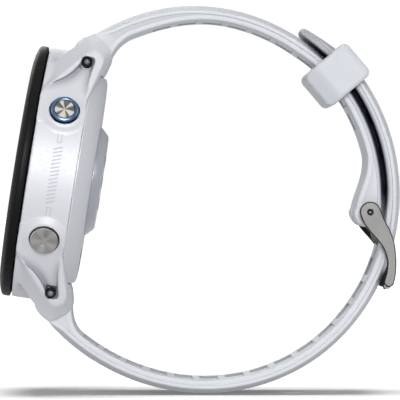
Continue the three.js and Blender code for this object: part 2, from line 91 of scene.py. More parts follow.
def loop_point(radius, angle):
    return np.array([LOOP[0] + radius * math.cos(angle), LOOP[2] + radius * math.sin(angle)])


def from_loop(points, angle):
    """Points given outwards, across and along the strap's loop, at an angle round it."""
    out, forward = (math.cos(angle), 0, math.sin(angle)), (-math.sin(angle), 0, math.cos(angle))
    return LOOP * (1, 0, 1) + np.asarray(points, float) @ np.array([out, (0, 1, 0), forward])


def unit(vectors):
    return vectors / (np.linalg.norm(vectors, axis=-1, keepdims=True) + 1e-9)


def left_of(heading):
    """Directions a quarter turn to the left of flat ones."""
    return np.stack([-heading[..., 1], heading[..., 0]], -1)


def smoothstep(value, low, high):
    t = np.clip((np.asarray(value, float) - low) / (high - low), 0, 1)
    return t * t * (3 - 2 * t)


# ---- materials ----
HATCH_RADIUS, HATCH_PITCH = 36.5, 1.05  # the strap's check: where it is measured, and its spacing
RINGS_PER_MM = 26.0
# Waves of the painted sheen on turned metal.
SHEEN_WAVES = ((3.0, 0.7), (2.0, 2.1), (5.0, 0.2))  # how often round, and where each begins


class Nodes:
    """Short names for making and linking a material's nodes."""

    def __init__(self, name):
        self.material = bpy.data.materials.new(name)
        self.material.use_nodes = True
        self.tree = self.material.node_tree
        self.tree.nodes.clear()
        self.shader = self.node("BsdfPrincipled")
        self.feed(self.node("OutputMaterial").inputs[0], self.shader.outputs[0])
        self.place = self.node("TexCoord").outputs["Object"]

    def feed(self, socket, value):
        """Links another node's output to a socket, or gives it a constant."""
        if isinstance(value, bpy.types.NodeSocket):
            self.tree.links.new(value, socket)
        else:
            socket.default_value = (*value, 1) if isinstance(value, tuple) else value

    def node(self, kind, **values):
        node = self.tree.nodes.new("ShaderNode" + kind)
        for name, value in values.items():
            self.feed(node.inputs[name.replace("_", " ")], value)
        return node

    def noise(self, scale, detail=2.0, vector=None):
        return self.node("TexNoise", Scale=scale, Detail=detail, Vector=vector or self.place).outputs["Fac"]

    def math(self, operation, *values):
        node = self.node("Math")
        node.operation = operation
        for socket, value in zip(node.inputs, values):
            self.feed(socket, value)
        return node.outputs[0]

    def spread(self, value, low, high, start=0.0, end=1.0):
        return self.node("MapRange", Value=value, From_Min=start, From_Max=end, To_Min=low,
                         To_Max=high).outputs["Result"]

    def mix(self, share, first, second):
        node = self.node("Mix", Factor=share)
        node.data_type = "RGBA"
        self.feed(node.inputs[6], first)
        self.feed(node.inputs[7], second)
        return node.outputs[2]

    def bump(self, height, distance, strength, **normal):
        node = self.node("Bump", Strength=strength, Distance=distance, Height=height, **normal)
        return node.outputs["Normal"]

    def attribute(self, name):
        node = self.node("Attribute")
        node.attribute_name = name
        return node.outputs["Fac"]

    def set(self, **values):
        for name, value in values.items():
            self.feed(self.shader.inputs[name.replace("_", " ")], value)


def tones(color, darker, lighter):
    """A colour made darker and lighter by two factors."""
    return [tuple(min(1.0, c * factor) for c in color) for factor in (darker, lighter)]


def plain(name, color, roughness, metallic=0.0, shift=0.05, grain=3500.0, depth=6e-6, painted_shade=None, **more):
    """A moulded, painted or blasted finish: slight clouding, fine grain and uneven gloss.

    A painted shade colour, if there is one, darkens the hollows that the mesh marks.
    """
    n = Nodes(name)
    cloud = n.noise(90.0, 3.0)
    grains = n.noise(grain, 2.0)
    base = n.mix(n.spread(cloud, 0, 1, 0.3, 0.7), *tones(color, 1 - shift, 1 + shift))
    # Painted shade in the marked hollows.
    if painted_shade is not None:
        base = n.mix(n.attribute("painted_shade"), base, painted_shade)
    n.set(Base_Color=base, Metallic=metallic,
          Roughness=n.spread(grains, roughness * 0.88, roughness * 1.12, 0.3, 0.7),
          Normal=n.bump(grains, depth, 0.6), **more)
    return n.material


def silicone(name, color, hatch):
    """Matt silicone; its outer face has a fine diagonal check where the mesh says so. With the check come
    painted shade in its grooves, in the marked hollows and between the straps.
    """
    n = Nodes(name)
    grains = n.noise(2600.0, 2.0)
    cloud = n.noise(60.0, 3.0)
    base = n.mix(n.spread(cloud, 0, 1, 0.3, 0.7), *tones(color, 0.96, 1.03))
    normal = n.bump(grains, 7e-6, 0.5)
    if hatch:
        split = n.node("SeparateXYZ", Vector=n.place)
        x, z = (n.math("SUBTRACT", split.outputs[k], float(LOOP[k] * MM)) for k in (0, 2))
        along = n.math("MULTIPLY", n.math("ARCTAN2", z, x), HATCH_RADIUS * MM)
        turn = 2 * math.pi / (HATCH_PITCH * MM)
        lines = [n.math("SINE", n.math("MULTIPLY", n.math(way, along, split.outputs[1]), turn))
                 for way in ("ADD", "SUBTRACT")]
        height = n.math("MULTIPLY", n.math("MULTIPLY", *lines), n.attribute("hatch"))
        normal = n.bump(height, 3.5e-5, 0.9, Normal=normal)
        # Painted shade: the check's grooves a little darker, the marked hollows much darker.
        deep, hollow = tones(color, 0.82, 0.45)
        base = n.mix(n.spread(height, 0, 1, -1.0, 0.5), deep, base)
        base = n.mix(n.attribute("painted_shade"), base, hollow)
        # Painted shade, dark blue, where the straps lie on each other.
        base = n.mix(n.attribute("shade"), base, (0.05, 0.06, 0.1))
        n.set(Specular_IOR_Level=0.42)
    n.set(Base_Color=base, Roughness=n.spread(grains, 0.5, 0.62, 0.3, 0.7), Normal=normal)
    return n.material


def turned_metal(name, color, roughness, sectors):
    """Metal turned on a lathe: hairline rings, and a painted sheen of lighter and darker sectors round the
    middle.
    """
    n = Nodes(name)
    across = n.node("CombineXYZ", X=n.math("MULTIPLY", n.attribute("radius"), RINGS_PER_MM))
    rings = n.noise(1.0, 3.0, across.outputs[0])
    angle = n.attribute("angle")
    # Painted sheen: lighter and darker sectors round the middle, as brushed rings reflect light.
    waves = [n.math("SINE", n.math("MULTIPLY_ADD", angle, count, phase)) for count, phase in SHEEN_WAVES]
    sheen_fan = n.math("MULTIPLY_ADD", waves[2], 0.45, n.math("MULTIPLY", waves[0], waves[1]))
    hairlines = n.math("MULTIPLY", n.math("SUBTRACT", rings, 0.5), 0.7)
    share = n.math("MULTIPLY_ADD", sheen_fan, sectors, hairlines)
    n.set(Base_Color=n.mix(n.spread(share, 0, 1, -1.0, 1.0), *tones(color, 0.32, 1.55)), Metallic=1.0,
          Roughness=n.spread(rings, roughness * 0.8, roughness * 1.25, 0.3, 0.7),
          Normal=n.bump(rings, 4e-6, 0.5))
    return n.material


def cover_glass(name):
    """Hardened cover glass: a thin smoky pane that lets the display show, with faint smudges."""
    n = Nodes(name)
    smudge = n.noise(140.0, 4.0)
    n.set(Base_Color=(0.012, 0.014, 0.018), Alpha=0.2, Specular_IOR_Level=0.5,
          Roughness=n.spread(smudge, 0.03, 0.07, 0.35, 0.75))
    return n.material


def circuit_board(name):
    """Green board with a grid of copper tracks under the mask."""
    n = Nodes(name)
    brick = n.node("TexBrick", Vector=n.place, Scale=420.0, Color1=(0.01, 0.09, 0.045),
                   Color2=(0.015, 0.13, 0.06), Mortar=(0.22, 0.2, 0.06))
    n.set(Base_Color=brick.outputs["Color"], Roughness=n.spread(n.noise(900.0), 0.3, 0.5))
    return n.material


# The white case carries painted shade in its hollows.
WHITE = plain("white_polymer", (0.65, 0.665, 0.705), 0.46, shift=0.012, grain=2400.0, depth=5e-6,
              painted_shade=(0.16, 0.175, 0.21), Specular_IOR_Level=1.0)
# Steel spring-bar parts coloured dark, as painted shade inside the lug holes.
BAR_TUBE_SHADE = plain("bar_tube", (0.03, 0.032, 0.036), 0.6, 0.3, shift=0.2)
BAR_PIN_SHADE = plain("bar_pin", (0.2, 0.2, 0.21), 0.55, 0.4, shift=0.1)
GREY = plain("grey_polymer", (0.66, 0.68, 0.72), 0.34, shift=0.02)
BEZEL = plain("black_bezel", (0.007, 0.007, 0.0075), 0.45, shift=0.25, grain=1500.0, depth=1.4e-5,
              Specular_IOR_Level=0.1)
RUBBER = plain("black_rubber", (0.03, 0.03, 0.034), 0.7, shift=0.2)
BLACK = plain("black_polymer", (0.02, 0.021, 0.024), 0.5, shift=0.2)
STEEL = plain("steel", (0.62, 0.62, 0.62), 0.28, 1.0, grain=5000.0, depth=3e-6)
# Near black, as painted shade and dark reflection on edges and inner faces.
EDGE_SHADE = plain("painted_edge_shade", (0.016, 0.017, 0.022), 0.6, shift=0.2, Specular_IOR_Level=0.12)
GUNMETAL = plain("blasted_gunmetal", (0.115, 0.113, 0.11), 0.45, 0.85, shift=0.08, grain=5200.0, depth=9e-6)
BLUE = plain("blue_anodised", (0.1, 0.17, 0.28), 0.3, 0.95, shift=0.08)
# A dark copy of the blue anodising, as painted shade on side walls.
BLUE_SIDE_SHADE = plain("blue_shadow_side", (0.012, 0.03, 0.075), 0.35, 0.6, shift=0.1)
GOLD = plain("gold_plate", (0.85, 0.6, 0.26), 0.28, 1.0)
STRAP = silicone("strap_silicone", (0.73, 0.75, 0.79), True)
STRAP_PLAIN = silicone("strap_silicone_plain", (0.62, 0.64, 0.68), False)
SILVER = turned_metal("turned_steel", (0.47, 0.45, 0.43), 0.26, 2.4)
SILVER_GREY = turned_metal("turned_steel_grey", (0.42, 0.41, 0.4), 0.36, 0.3)
GLASS = cover_glass("display_glass")
SENSOR = plain("sensor_window", (0.42, 0.44, 0.49), 0.16, shift=0.03, Coat_Weight=0.5, Coat_Roughness=0.08)
SENSOR_EYE = plain("sensor_eye", (0.02, 0.03, 0.035), 0.12, shift=0.3, Coat_Weight=1.0)
SENSOR_GREEN = plain("sensor_lamp", (0.1, 0.5, 0.2), 0.2, shift=0.2, Coat_Weight=0.6)
BOARD = circuit_board("circuit_board")
DISPLAY = plain("display_black", (0.012, 0.014, 0.018), 0.4, shift=0.2, Specular_IOR_Level=0.1)
DISPLAY_LIGHT = plain("display_light", (0.8, 0.84, 0.88), 0.5, shift=0.03,
                      Emission_Color=(0.8, 0.86, 0.95), Emission_Strength=0.6)
DISPLAY_BLUE = plain("display_blue", (0.05, 0.33, 0.75), 0.5, shift=0.05,
                     Emission_Color=(0.04, 0.3, 0.8), Emission_Strength=0.6)
DISPLAY_GREY = plain("display_grey", (0.16, 0.17, 0.19), 0.5, shift=0.05)
PRINT = plain("side_print", (0.5, 0.52, 0.57), 0.5, shift=0.06)


# ---- meshes ----
SHARP = 35.0  # degrees between faces from which an edge is shaded hard


def solid(points, faces, name="helper", materials=(), sharp=SHARP, attributes=None):
    """An object from points in millimetres, with values per point if there are any."""
    mesh = bpy.data.meshes.new(name)
    mesh.from_pydata((np.asarray(points, float) * MM).tolist(), [], [list(f) for f in faces])
    for key, values in (attributes or {}).items():
        mesh.attributes.new(key, "FLOAT", "POINT").data.foreach_set("value", np.asarray(values, float))
    mesh.validate()
    for material in materials:
        mesh.materials.append(material)
    piece = add_object(name, mesh)
    settle(piece, sharp)
    return piece


def make(name, points, faces, material, body, slot, nodes=(), sharp=SHARP, attributes=None):
    """A piece that rides on a body and stands for CAD nodes."""
    materials = material if isinstance(material, list) else [material]
    piece = solid(points, faces, name, materials, sharp, attributes)
    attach(piece, body)
    if nodes:
        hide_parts(*nodes)
    return piece


def settle(piece, sharp):
    """Outward normals, smooth shading, and hard edges where faces meet at a sharp angle."""
    work = bmesh.new()
    work.from_mesh(piece.data)
    bmesh.ops.recalc_face_normals(work, faces=work.faces)
    work.to_mesh(piece.data)
    work.free()
    piece.data.shade_smooth()
    piece.data.set_sharp_from_angle(angle=sharp * DEG)


def apply_modifiers(piece, sharp):
    """Turns what the piece's modifiers make into its own mesh."""
    graph = bpy.context.evaluated_depsgraph_get()
    mesh = bpy.data.meshes.new_from_object(piece.evaluated_get(graph))
    piece.modifiers.clear()
    old, name = piece.data, piece.data.name
    piece.data = mesh
    bpy.data.meshes.remove(old)
    mesh.name = name
    settle(piece, sharp)


def combine(piece, cutters, sharp=SHARP, operation="DIFFERENCE"):
    """Joins or cuts a piece with helper solids, which are then thrown away."""
    for cutter in cutters:
        step = piece.modifiers.new("cut", "BOOLEAN")
        step.operation = operation
        step.solver = "EXACT"
        step.object = cutter
    apply_modifiers(piece, sharp)
    for cutter in cutters:
        bpy.data.objects.remove(cutter)


def bevel(piece, width, angle):
    """Breaks the edges that are sharper than an angle in degrees."""
    step = piece.modifiers.new("bevel", "BEVEL")
    step.width = width * MM
    step.segments = 2
    step.limit_method = "ANGLE"
    step.angle_limit = angle * DEG
    step.use_clamp_overlap = True
    apply_modifiers(piece, SHARP)


def lathe(profile, segments=96):
    """A closed solid turned about Z from (radius, height) points; also radius and angle values."""
    turns = [2 * math.pi * i / segments for i in range(segments)]
    points, faces, rings, radii, angles = [], [], [], [], []
    for radius, height in profile:
        around = turns if radius > 0 else [0.0]
        rings.append(range(len(points), len(points) + len(around)))
        points += [(radius * math.cos(a), radius * math.sin(a), height) for a in around]
        radii += [radius] * len(around)
        angles += around
    pairs = list(zip(rings, rings[1:]))
    if len(rings[0]) > 1:
        pairs.append((rings[-1], rings[0]))
    for low, high in pairs:
        for i in range(segments):
            j = (i + 1) % segments
            corners = [ring[k % len(ring)] for ring, k in ((low, i), (low, j), (high, j), (high, i))]
            faces.append(tuple(dict.fromkeys(corners)))
    return np.array(points), faces, {"radius": radii, "angle": angles}


def lying(profile, centre, segments):
    """A lathe solid laid along Y, round a centre."""
    points, faces, _ = lathe(profile, segments)
    return points[:, [0, 2, 1]] + np.multiply(centre, (1, 0, 1)), faces


def skin(rings):
    """A closed solid through rings of equally many points, flat over the first and the last."""
    count, last = len(rings[0]), (len(rings) - 1) * len(rings[0])
    faces = [tuple(range(count)), tuple(range(last + count - 1, last - 1, -1))]
    for low in range(0, last, count):
        for i in range(count):
            j = (i + 1) % count
            faces.append((low + i, low + i + count, low + j + count, low + j))
    return np.array([point for ring in rings for point in ring], float), faces


def joined(solids):
    """The points and faces of several solids as one mesh."""
    points, faces = [], []
    for some_points, some_faces in solids:
        faces += [tuple(k + len(points) for k in face) for face in some_faces]
        points += list(some_points)
    return np.array(points), faces


def prism(outline, y0, y1):
    """A slab standing on an (x, z) outline between two places along Y."""
    return skin([[(x, y, z) for x, z in outline] for y in (y0, y1)])


def box(x0, x1, y0, y1, z0, z1):
    return prism([(x0, z0), (x1, z0), (x1, z1), (x0, z1)], y0, y1)


def arc(centre, radius, start, end, steps):
    """Points on a circle between two angles in degrees."""
    return [(centre[0] + radius * math.cos(a * DEG), centre[1] + radius * math.sin(a * DEG))
            for a in np.linspace(start, end, steps)]


def smooth_curve(corners, steps):
    """A curve through the middle of a corner, drawn as a quadratic from first to last."""
    a, b, c = (np.asarray(p, float) for p in corners)
    t = np.linspace(0, 1, steps)[:, None]
    return list((1 - t) ** 2 * a + 2 * t * (1 - t) * b + t ** 2 * c)


def paint_faces(piece, index, chosen):
    """Gives a second material to the faces whose middle and normal pass a test."""
    for face in piece.data.polygons:
        if chosen(np.array(face.center) / MM, np.array(face.normal)):
            face.material_index = index


# ---- meshing a field ----
def smax(first, second, blend):
    """The larger of two fields, rounded where they meet."""
    if blend <= 0:
        return np.maximum(first, second)
    room = np.maximum(blend - np.abs(first - second), 0)
    return np.maximum(first, second) + room * room / (4 * blend)


def smin(first, second, blend):
    return -smax(-first, -second, blend)


def contour(field, low, high, step):
    """Surface of field(points) = 0, with a point per grid cell placed to keep edges crisp."""
    low = np.asarray(low, float)
    counts = np.ceil((np.asarray(high, float) - low) / step).astype(int) + 1
    axes = [low[k] + step * np.arange(counts[k]) for k in range(3)]
    values = np.empty(counts)
    for i, x in enumerate(axes[0]):
        grid = np.stack(np.meshgrid([x], axes[1], axes[2], indexing="ij"), -1)
        values[i] = field(grid)[0]
    inside = values < 0
    cells = counts - 1
    index = -np.ones(cells, int)
    crossings, owners, quads = [], [], []
    for k in range(3):
        sides = [(k + 1) % 3, (k + 2) % 3]
        where = np.argwhere(np.diff(inside, axis=k))
        where = where[((where[:, sides] > 0) & (where[:, sides] < cells[sides])).all(axis=1)]
        start = values[tuple(where.T)]
        end = values[tuple((where + np.eye(3, dtype=int)[k]).T)]
        place = low + step * where.astype(float)
        place[:, k] += step * start / (start - end)
        around = []
        for back in ((1, 1), (0, 1), (0, 0), (1, 0)):
            cell = where.copy()
            cell[:, sides] -= back
            around.append(cell)
        crossings.append(place)
        owners.append(np.stack(around, 1))
        quads.append(start < 0)
    places = np.concatenate(crossings)
    owners = np.concatenate(owners)
    flips = np.concatenate(quads)
    flat = np.ravel_multi_index(owners.reshape(-1, 3).T, cells)
    used, inverse = np.unique(flat, return_inverse=True)
    faces = inverse.reshape(-1, 4)
    small = 0.02 * step
    normals = np.stack([field(places + small * e) - field(places - small * e) for e in np.eye(3)], -1)
    normals /= np.linalg.norm(normals, axis=1, keepdims=True) + 1e-12

    def gathered(values):
        """A value per crossing, summed over the crossings round each point."""
        total = np.zeros((len(used), *values.shape[1:]))
        for corner in range(4):
            np.add.at(total, faces[:, corner], values)
        return total

    mean = gathered(places) / gathered(np.ones(len(places)))[:, None]
    pull = 0.08
    square = gathered(normals[:, :, None] * normals[:, None, :]) + pull * np.eye(3)
    right = gathered(np.einsum("ij,ij->i", normals, places)[:, None] * normals) + pull * mean
    points = np.linalg.solve(square, right[:, :, None])[:, :, 0]
    cell = np.stack(np.unravel_index(used, cells), -1)
    points = np.clip(points, low + step * (cell - 0.15), low + step * (cell + 1.15))
    faces[flips] = faces[flips][:, ::-1]
    return points, faces


# ---- case ----
CASE_RADIUS = 23.25
LUG_INSIDE = 11.3
FLANK_TURN = 24 * DEG
FLANK_DISTANCE = 23.2
# A place in the case is (along to 12 o'clock, sideways, deep below the dial), in millimetres.
BUTTON_ALONG, BUTTON_FACE, BUTTON_DEPTH = 12.06, 21.3, 4.91
MIDDLE_BUTTON_FACE = 24.2
COLLAR_TOP = -0.4
PIN_HOLE_TOP, PIN_HOLE_BOTTOM, PIN_HOLE_RADIUS = 21.3, 19.9, 1.0
PIN_ALONG, PIN_DEEP = 21.4, 7.4
CAP_BORE, CAP_FLOOR = 2.78, -2.3  # the bore a button's cap sinks into, from its face
STEM_BORE, STEM_FLOOR = 1.5, -5.0
BACK_SEAM = 8.75
NOTCH_ALONG, NOTCH_DEEP = 19.0, 4.45  # the gap between the lugs
ROOM_RADIUS, ROOM_DEEP, ROOM_ALONG = 21.6, 3.15, 17.7  # the space for the inner pieces


def beyond_line(along, deep, start, heading):
    """Signed distance of (along, deep) outside a line with a heading in degrees."""
    return (along - start[0]) * math.sin(heading * DEG) - (deep - start[1]) * math.cos(heading * DEG)


def lug_field(along, sideways, deep):
    """One of the four lugs, with edges that are chamfered less the deeper they lie."""
    depth = FLANK_DISTANCE - along * math.sin(FLANK_TURN) - sideways * math.cos(FLANK_TURN)
    share = np.clip(depth / np.maximum(12.88 - 0.4067 * along, 1.6), -0.2, 1.4)
    # The side outline, line by line: a point on it, its heading in degrees, its chamfer's width.
    edges = (((16.3, 1.63), 37.0, 2.8), ((19.97, 4.4), 45.8, 2.6), ((24.0, 8.55), 128.0, 1.9),
             ((22.3, 10.7), 194.5, 0.8))
    lug = None
    for (start, heading, width), blend in zip(edges, (0, 0.8, 1.6, 1.4)):
        edge = beyond_line(along, deep, start, heading) - width * share
        lug = edge if lug is None else smax(lug, edge, blend)
    lug = smax(lug, -depth, 0.4)
    lug = smax(lug, LUG_INSIDE - sideways, 0.25)
    return np.maximum(lug, 9.45 - along)


def valley_field(along, sideways, deep):
    """The hollow that runs up a lug to its pin hole, between two bent walls."""
    front = None
    for start, heading in (((16.3, 1.63), 60.6), ((17.09, 3.03), 51.5), ((18.48, 4.78), 33.0)):
        edge = beyond_line(along, deep, start, heading)
        front = edge if front is None else smin(front, edge, 0.6)
    back = None
    for start, heading in (((20.8, 8.8), 13.4), ((18.37, 8.22), 5.0), ((16.8, 8.08), -8.0)):
        edge = -beyond_line(along, deep, start, heading)
        back = edge if back is None else smin(back, edge, 0.6)
    rim = smax(smax(front, back, 0.5), along - 22.3, 1.3)
    depth = FLANK_DISTANCE - along * math.sin(FLANK_TURN) - sideways * math.cos(FLANK_TURN)
    rim = rim + 0.16 * depth
    floor = 23.8 - along * math.sin(36.2 * DEG) - sideways * math.cos(36.2 * DEG)
    return smax(rim, floor, 0.5)


def collar_fields(along, sideways, deep, place, turn):
    """A button's raised collar and the stepped bore through it."""
    rise = (along - place[0]) * math.sin(turn) + (sideways - place[1]) * math.cos(turn)
    across = (along - place[0]) * math.cos(turn) - (sideways - place[1]) * math.sin(turn)
    radius = np.hypot(across, deep - BUTTON_DEPTH)
    collar = smax(radius - 3.35 + 0.75 * (rise - COLLAR_TOP), rise - COLLAR_TOP, 0.5)
    collar = np.maximum(collar, -2.2 - rise)
    cap_bore = np.maximum(radius - CAP_BORE, CAP_FLOOR - rise)
    stem_bore = np.maximum(radius - STEM_BORE, STEM_FLOOR - rise)
    return collar, np.minimum(cap_bore, stem_bore)


def hollowness(field, points):
    """How much of the space in front of each point of a field's surface is filled, from 0 to 1."""
    step = 0.05
    slopes = [field(points + d) - field(points - d) for d in np.eye(3) * step]
    normals = np.stack(slopes, -1)
    normals /= np.linalg.norm(normals, axis=-1, keepdims=True) + 1e-9
    filled = [1 - np.clip(field(points + normals * reach) / reach, 0, 1) for reach in (0.6, 1.4, 2.8)]
    return np.mean(filled, axis=0)


def case_field(p):
    """The whole case body, in the case's own axes."""
    x, y, z = p[..., 0], p[..., 1], p[..., 2]
    along, sideways, deep = np.abs(x), np.abs(y), -z
    radius = np.hypot(x, y)
    field = smax(radius - CASE_RADIUS, 0.1 - deep, 0.35)
    field = smax(field, deep - BACK_SEAM, 0.15)
    field = smin(field, lug_field(along, sideways, deep), 0.35)
    corner = collar_fields(along, sideways, deep, (BUTTON_ALONG, BUTTON_FACE), FLANK_TURN)
    middle = collar_fields(x, y, deep, (0, MIDDLE_BUTTON_FACE), 0)
    field = smin(smin(field, corner[0], 0.8), middle[0], 0.8)
    field = smax(field, 0.1 - deep, 0.3)
    field = smax(field, -valley_field(along, sideways, deep), 0.3)
    for bore in (corner[1], middle[1]):
        field = smax(field, -bore, 0.15)
    slot = np.hypot(np.maximum(along - PIN_HOLE_TOP, 0), deep - PIN_DEEP) - PIN_HOLE_RADIUS
    slot = np.maximum(slot, np.abs(deep - PIN_DEEP) - PIN_HOLE_RADIUS)
    slot = np.maximum(slot, PIN_HOLE_BOTTOM - along)
    field = smax(field, -np.maximum(slot, 10 - sideways), 0.12)
    notch = np.maximum(np.maximum(sideways - LUG_INSIDE, NOTCH_ALONG - along), NOTCH_DEEP - deep)
    field = smax(field, -notch, 0.12)
    field = smax(field, -np.maximum(radius - CASE_RADIUS - 0.15, BACK_SEAM - deep), 0.1)
    room = np.maximum(radius - ROOM_RADIUS, np.minimum(deep - ROOM_DEEP, along - ROOM_ALONG))
    return np.maximum(field, -room)


CASE_STEP = 0.25  # grid spacing in millimetres
points, faces = contour(case_field, (-28, -24.1, -12.1), (28, 24.9, 0.3), CASE_STEP)
# Painted shade: how far each point of the case lies in a hollow, which darkens its valleys, seams and
# collars.
hollow = np.clip(hollowness(case_field, points) * 1.35 - 0.12, 0, 1)
make("case_shell", from_case(points), faces, WHITE, "watch", "white_polymer", ["case_body"], sharp=42.0,
     attributes={"painted_shade": hollow})

BEZEL_PROFILE = [(17.6, 0.2), (22.9, 0.12), (23.2, 0.2), (23.32, 0.4), (23.34, 1.2), (23.27, 1.45),
                 (23.1, 1.68), (22.8, 1.88), (22.1, 2.12), (21.6, 2.26), (20.6, 2.46), (20.2, 2.5),
                 (19.5, 2.4), (19.25, 2.3), (19.25, 0.8), (17.6, 0.8)]
LENS_PROFILE = [(0, 1.05), (19, 1.05), (19, 2.1), (18.85, 2.25), (0, 2.25)]


def case_lathe(name, profile, segments, material, slot, node):
    """A piece turned about the case's own axis."""
    points, faces, _ = lathe(profile, segments)
    return make(name, from_case(points), faces, material, "watch", slot, [node])


case_lathe("bezel", BEZEL_PROFILE, 160, BEZEL, "black_bezel", "bezel_ring")
case_lathe("lens_glass", LENS_PROFILE, 160, GLASS, "display_glass", "lens")

# ---- watch face ----
DISPLAY_TOP = 0.75
SEGMENTS = {"0": "abcdef", "1": "bc", "8": "abcdefg"}
SEGMENT_ENDS = {"a": ((-1, 2), (1, 2)), "b": ((1, 2), (1, 0)), "c": ((1, 0), (1, -2)),
                "d": ((-1, -2), (1, -2)), "e": ((-1, 0), (-1, -2)), "f": ((-1, 2), (-1, 0)),
                "g": ((-1, 0), (1, 0))}
DIGIT_REACH, DIGIT_MIDDLE = (1.4, 1.5), 2.2


def stroke(start, end, width, gap=0.0):
    """Corners of a straight bar on the dial, kept short of its ends by a gap."""
    start, end = np.array(start, float), np.array(end, float)
    heading = unit(end - start)
    side = left_of(heading) * width / 2
    start, end = start + heading * gap, end - heading * gap
    return [start - side, end - side, end + side, start + side]


def dial_layer(name, outlines, material):
    """Flat shapes lit up on the display, from (right, up) outlines."""
    heights = (DISPLAY_TOP - 0.02, DISPLAY_TOP + 0.03)
    points, faces = joined([skin([[(up, -right, height) for right, up in outline] for height in heights])
                            for outline in outlines])
    make(name, from_case(points), faces, material, "watch", "black_polymer")


digits = []
for text, middle in (("1", -7.4), ("0", -3.2), ("0", 3.2), ("8", 7.4)):
    for segment in SEGMENTS[text]:
        ends = np.array(SEGMENT_ENDS[segment]) * DIGIT_REACH + (middle, DIGIT_MIDDLE)
        digits.append(stroke(*ends, 0.62, 0.16))
digits += [stroke((-0.35, v), (0.35, v), 0.7) for v in (0.9, 3.5)]
dial_layer("dial_digits", digits, DISPLAY_LIGHT)

minutes = []
for k in range(60):
    heading = np.array([math.sin(6 * k * DEG), math.cos(6 * k * DEG)])
    inner, width = (16.0, 0.14) if k % 5 else (15.3, 0.34)
    minutes.append(stroke(heading * inner, heading * 16.6, width))
dial_layer("dial_minutes", minutes, DISPLAY_LIGHT)


def gauge(start, end, steps):
    """A curved bar along the display's edge, between two angles in degrees."""
    return arc((0, 0), 13.6, start, end, steps) + arc((0, 0), 12.8, end, start, steps)


bars = [stroke((u, -8.4), (u, -7.2 + 1.5 * math.sin(1.1 * u) * math.cos(0.5 * u)), 0.6)
        for u in np.arange(-5.5, 5.6, 1.0)]
dial_layer("dial_accents", bars + [gauge(208, 300, 30)], DISPLAY_BLUE)
dial_layer("dial_gauge_rest", [gauge(302, 332, 12)], DISPLAY_GREY)

# ---- buttons ----
# Place along the case, side, turn of the flank it stands on, and distance of its face.
BUTTONS = {
    "start": (BUTTON_ALONG, -1, FLANK_TURN, BUTTON_FACE),
    "back": (-BUTTON_ALONG, -1, -FLANK_TURN, BUTTON_FACE),
    "light": (BUTTON_ALONG, 1, FLANK_TURN, BUTTON_FACE),
    "up": (0, 1, 0, MIDDLE_BUTTON_FACE),
    "down": (-BUTTON_ALONG, 1, -FLANK_TURN, BUTTON_FACE),
}


def from_button(points, button):
    """Points given in a button's own axes, whose third one leads out of its face."""
    along, side, turn, face = button
    outward = np.array([math.sin(turn), side * math.cos(turn), 0])
    across = np.array([0, 0, 1.0])
    third = np.cross(outward, across)
    origin = np.array([along, side * face, -BUTTON_DEPTH])
    return from_case(origin + np.asarray(points, float) @ np.array([across, third, outward]))


# Profiles as (radius, height above the button's face).
STEM = [(1.2, -1.7), (1.2, -4.85), (0, -4.85)]
PLAIN_CAP = [(0, 0.0), (0.62, 0.0), (0.7, -0.03), (0.8, -0.03), (0.88, 0.0), (2.25, 0.0), (2.4, -0.04),
             (2.5, -0.14), (2.53, -0.3), (2.53, -1.7)] + STEM
DISC_CAP = [(0, 0.03), (0.25, 0.04), (1.72, 0.1), (1.77, 0.06), (1.8, -0.2), (1.8, -1.7)] + STEM
RING_CAP = [(1.82, -1.5), (1.82, 0.02), (1.86, 0.1), (2.0, 0.16), (2.25, 0.12), (2.4, 0.02),
            (2.48, -0.12), (2.53, -0.3), (2.53, -1.5)]
for name, button in BUTTONS.items():
    body = f"{name}_button"
    profile = DISC_CAP if name == "start" else PLAIN_CAP
    material = SILVER if name == "start" else SILVER_GREY
    points, faces, extra = lathe(profile, 96)
    make(f"{name}_cap", from_button(points, button), faces, material, body, "button_steel",
         [f"{name}_button"], sharp=30.0, attributes=extra)
points, faces, extra = lathe(RING_CAP, 96)
ring = make("start_ring", from_button(points, BUTTONS["start"]), faces, [BLUE, BLUE_SIDE_SHADE], "start_button",
            "blue_anodised", ["start_button_ring"], sharp=30.0, attributes=extra)
start_axis = from_button((0, 0, 1), BUTTONS["start"]) - from_button((0, 0, 0), BUTTONS["start"])
# Painted shade: the ring's side walls take the dark copy of the blue.
paint_faces(ring, 1, lambda place, normal: abs(normal @ start_axis) < 0.35)


# ---- straps ----
STRAP_HALF = 11.0
THICKNESS = 2.75
POCKET_HALF, POCKET_DEPTH = 8.0, 0.45
SHORT_OUTER, LONG_OUTER, LONG_SAG = 34.65, 37.7, 1.7
PIVOT_ANGLE, PIVOT_RADIUS, BULB = -5.8 * DEG, 31.85, 2.8
CROWN = 1.3  # how far the outer face falls off towards its edges
ROWS_ACROSS = [0, 2.7, 5.4, 7.0, POCKET_HALF - 0.2, POCKET_HALF - 0.05, POCKET_HALF + 0.05,
               POCKET_HALF + 0.2, 8.8, 9.5, 10.1]
# Rows round the edge: beyond the half width, drawn in outside and inside, check, painted shade where the
# straps overlap.
EDGE_ROWS = [(-0.35, 1.05, 0.0, 0.6, 0.95), (-0.12, 1.13, 0.06, 0, 0.86), (-0.02, 1.24, 0.2, 0, 0.66),
             (0, 1.4, 0.45, 0, 0.36), (0, 1.58, 0.68, 0, 0.14), (-0.03, 1.72, 0.82, 0, 0.04)]
SIDE_GROOVE = 0.35  # depth of the step along each side
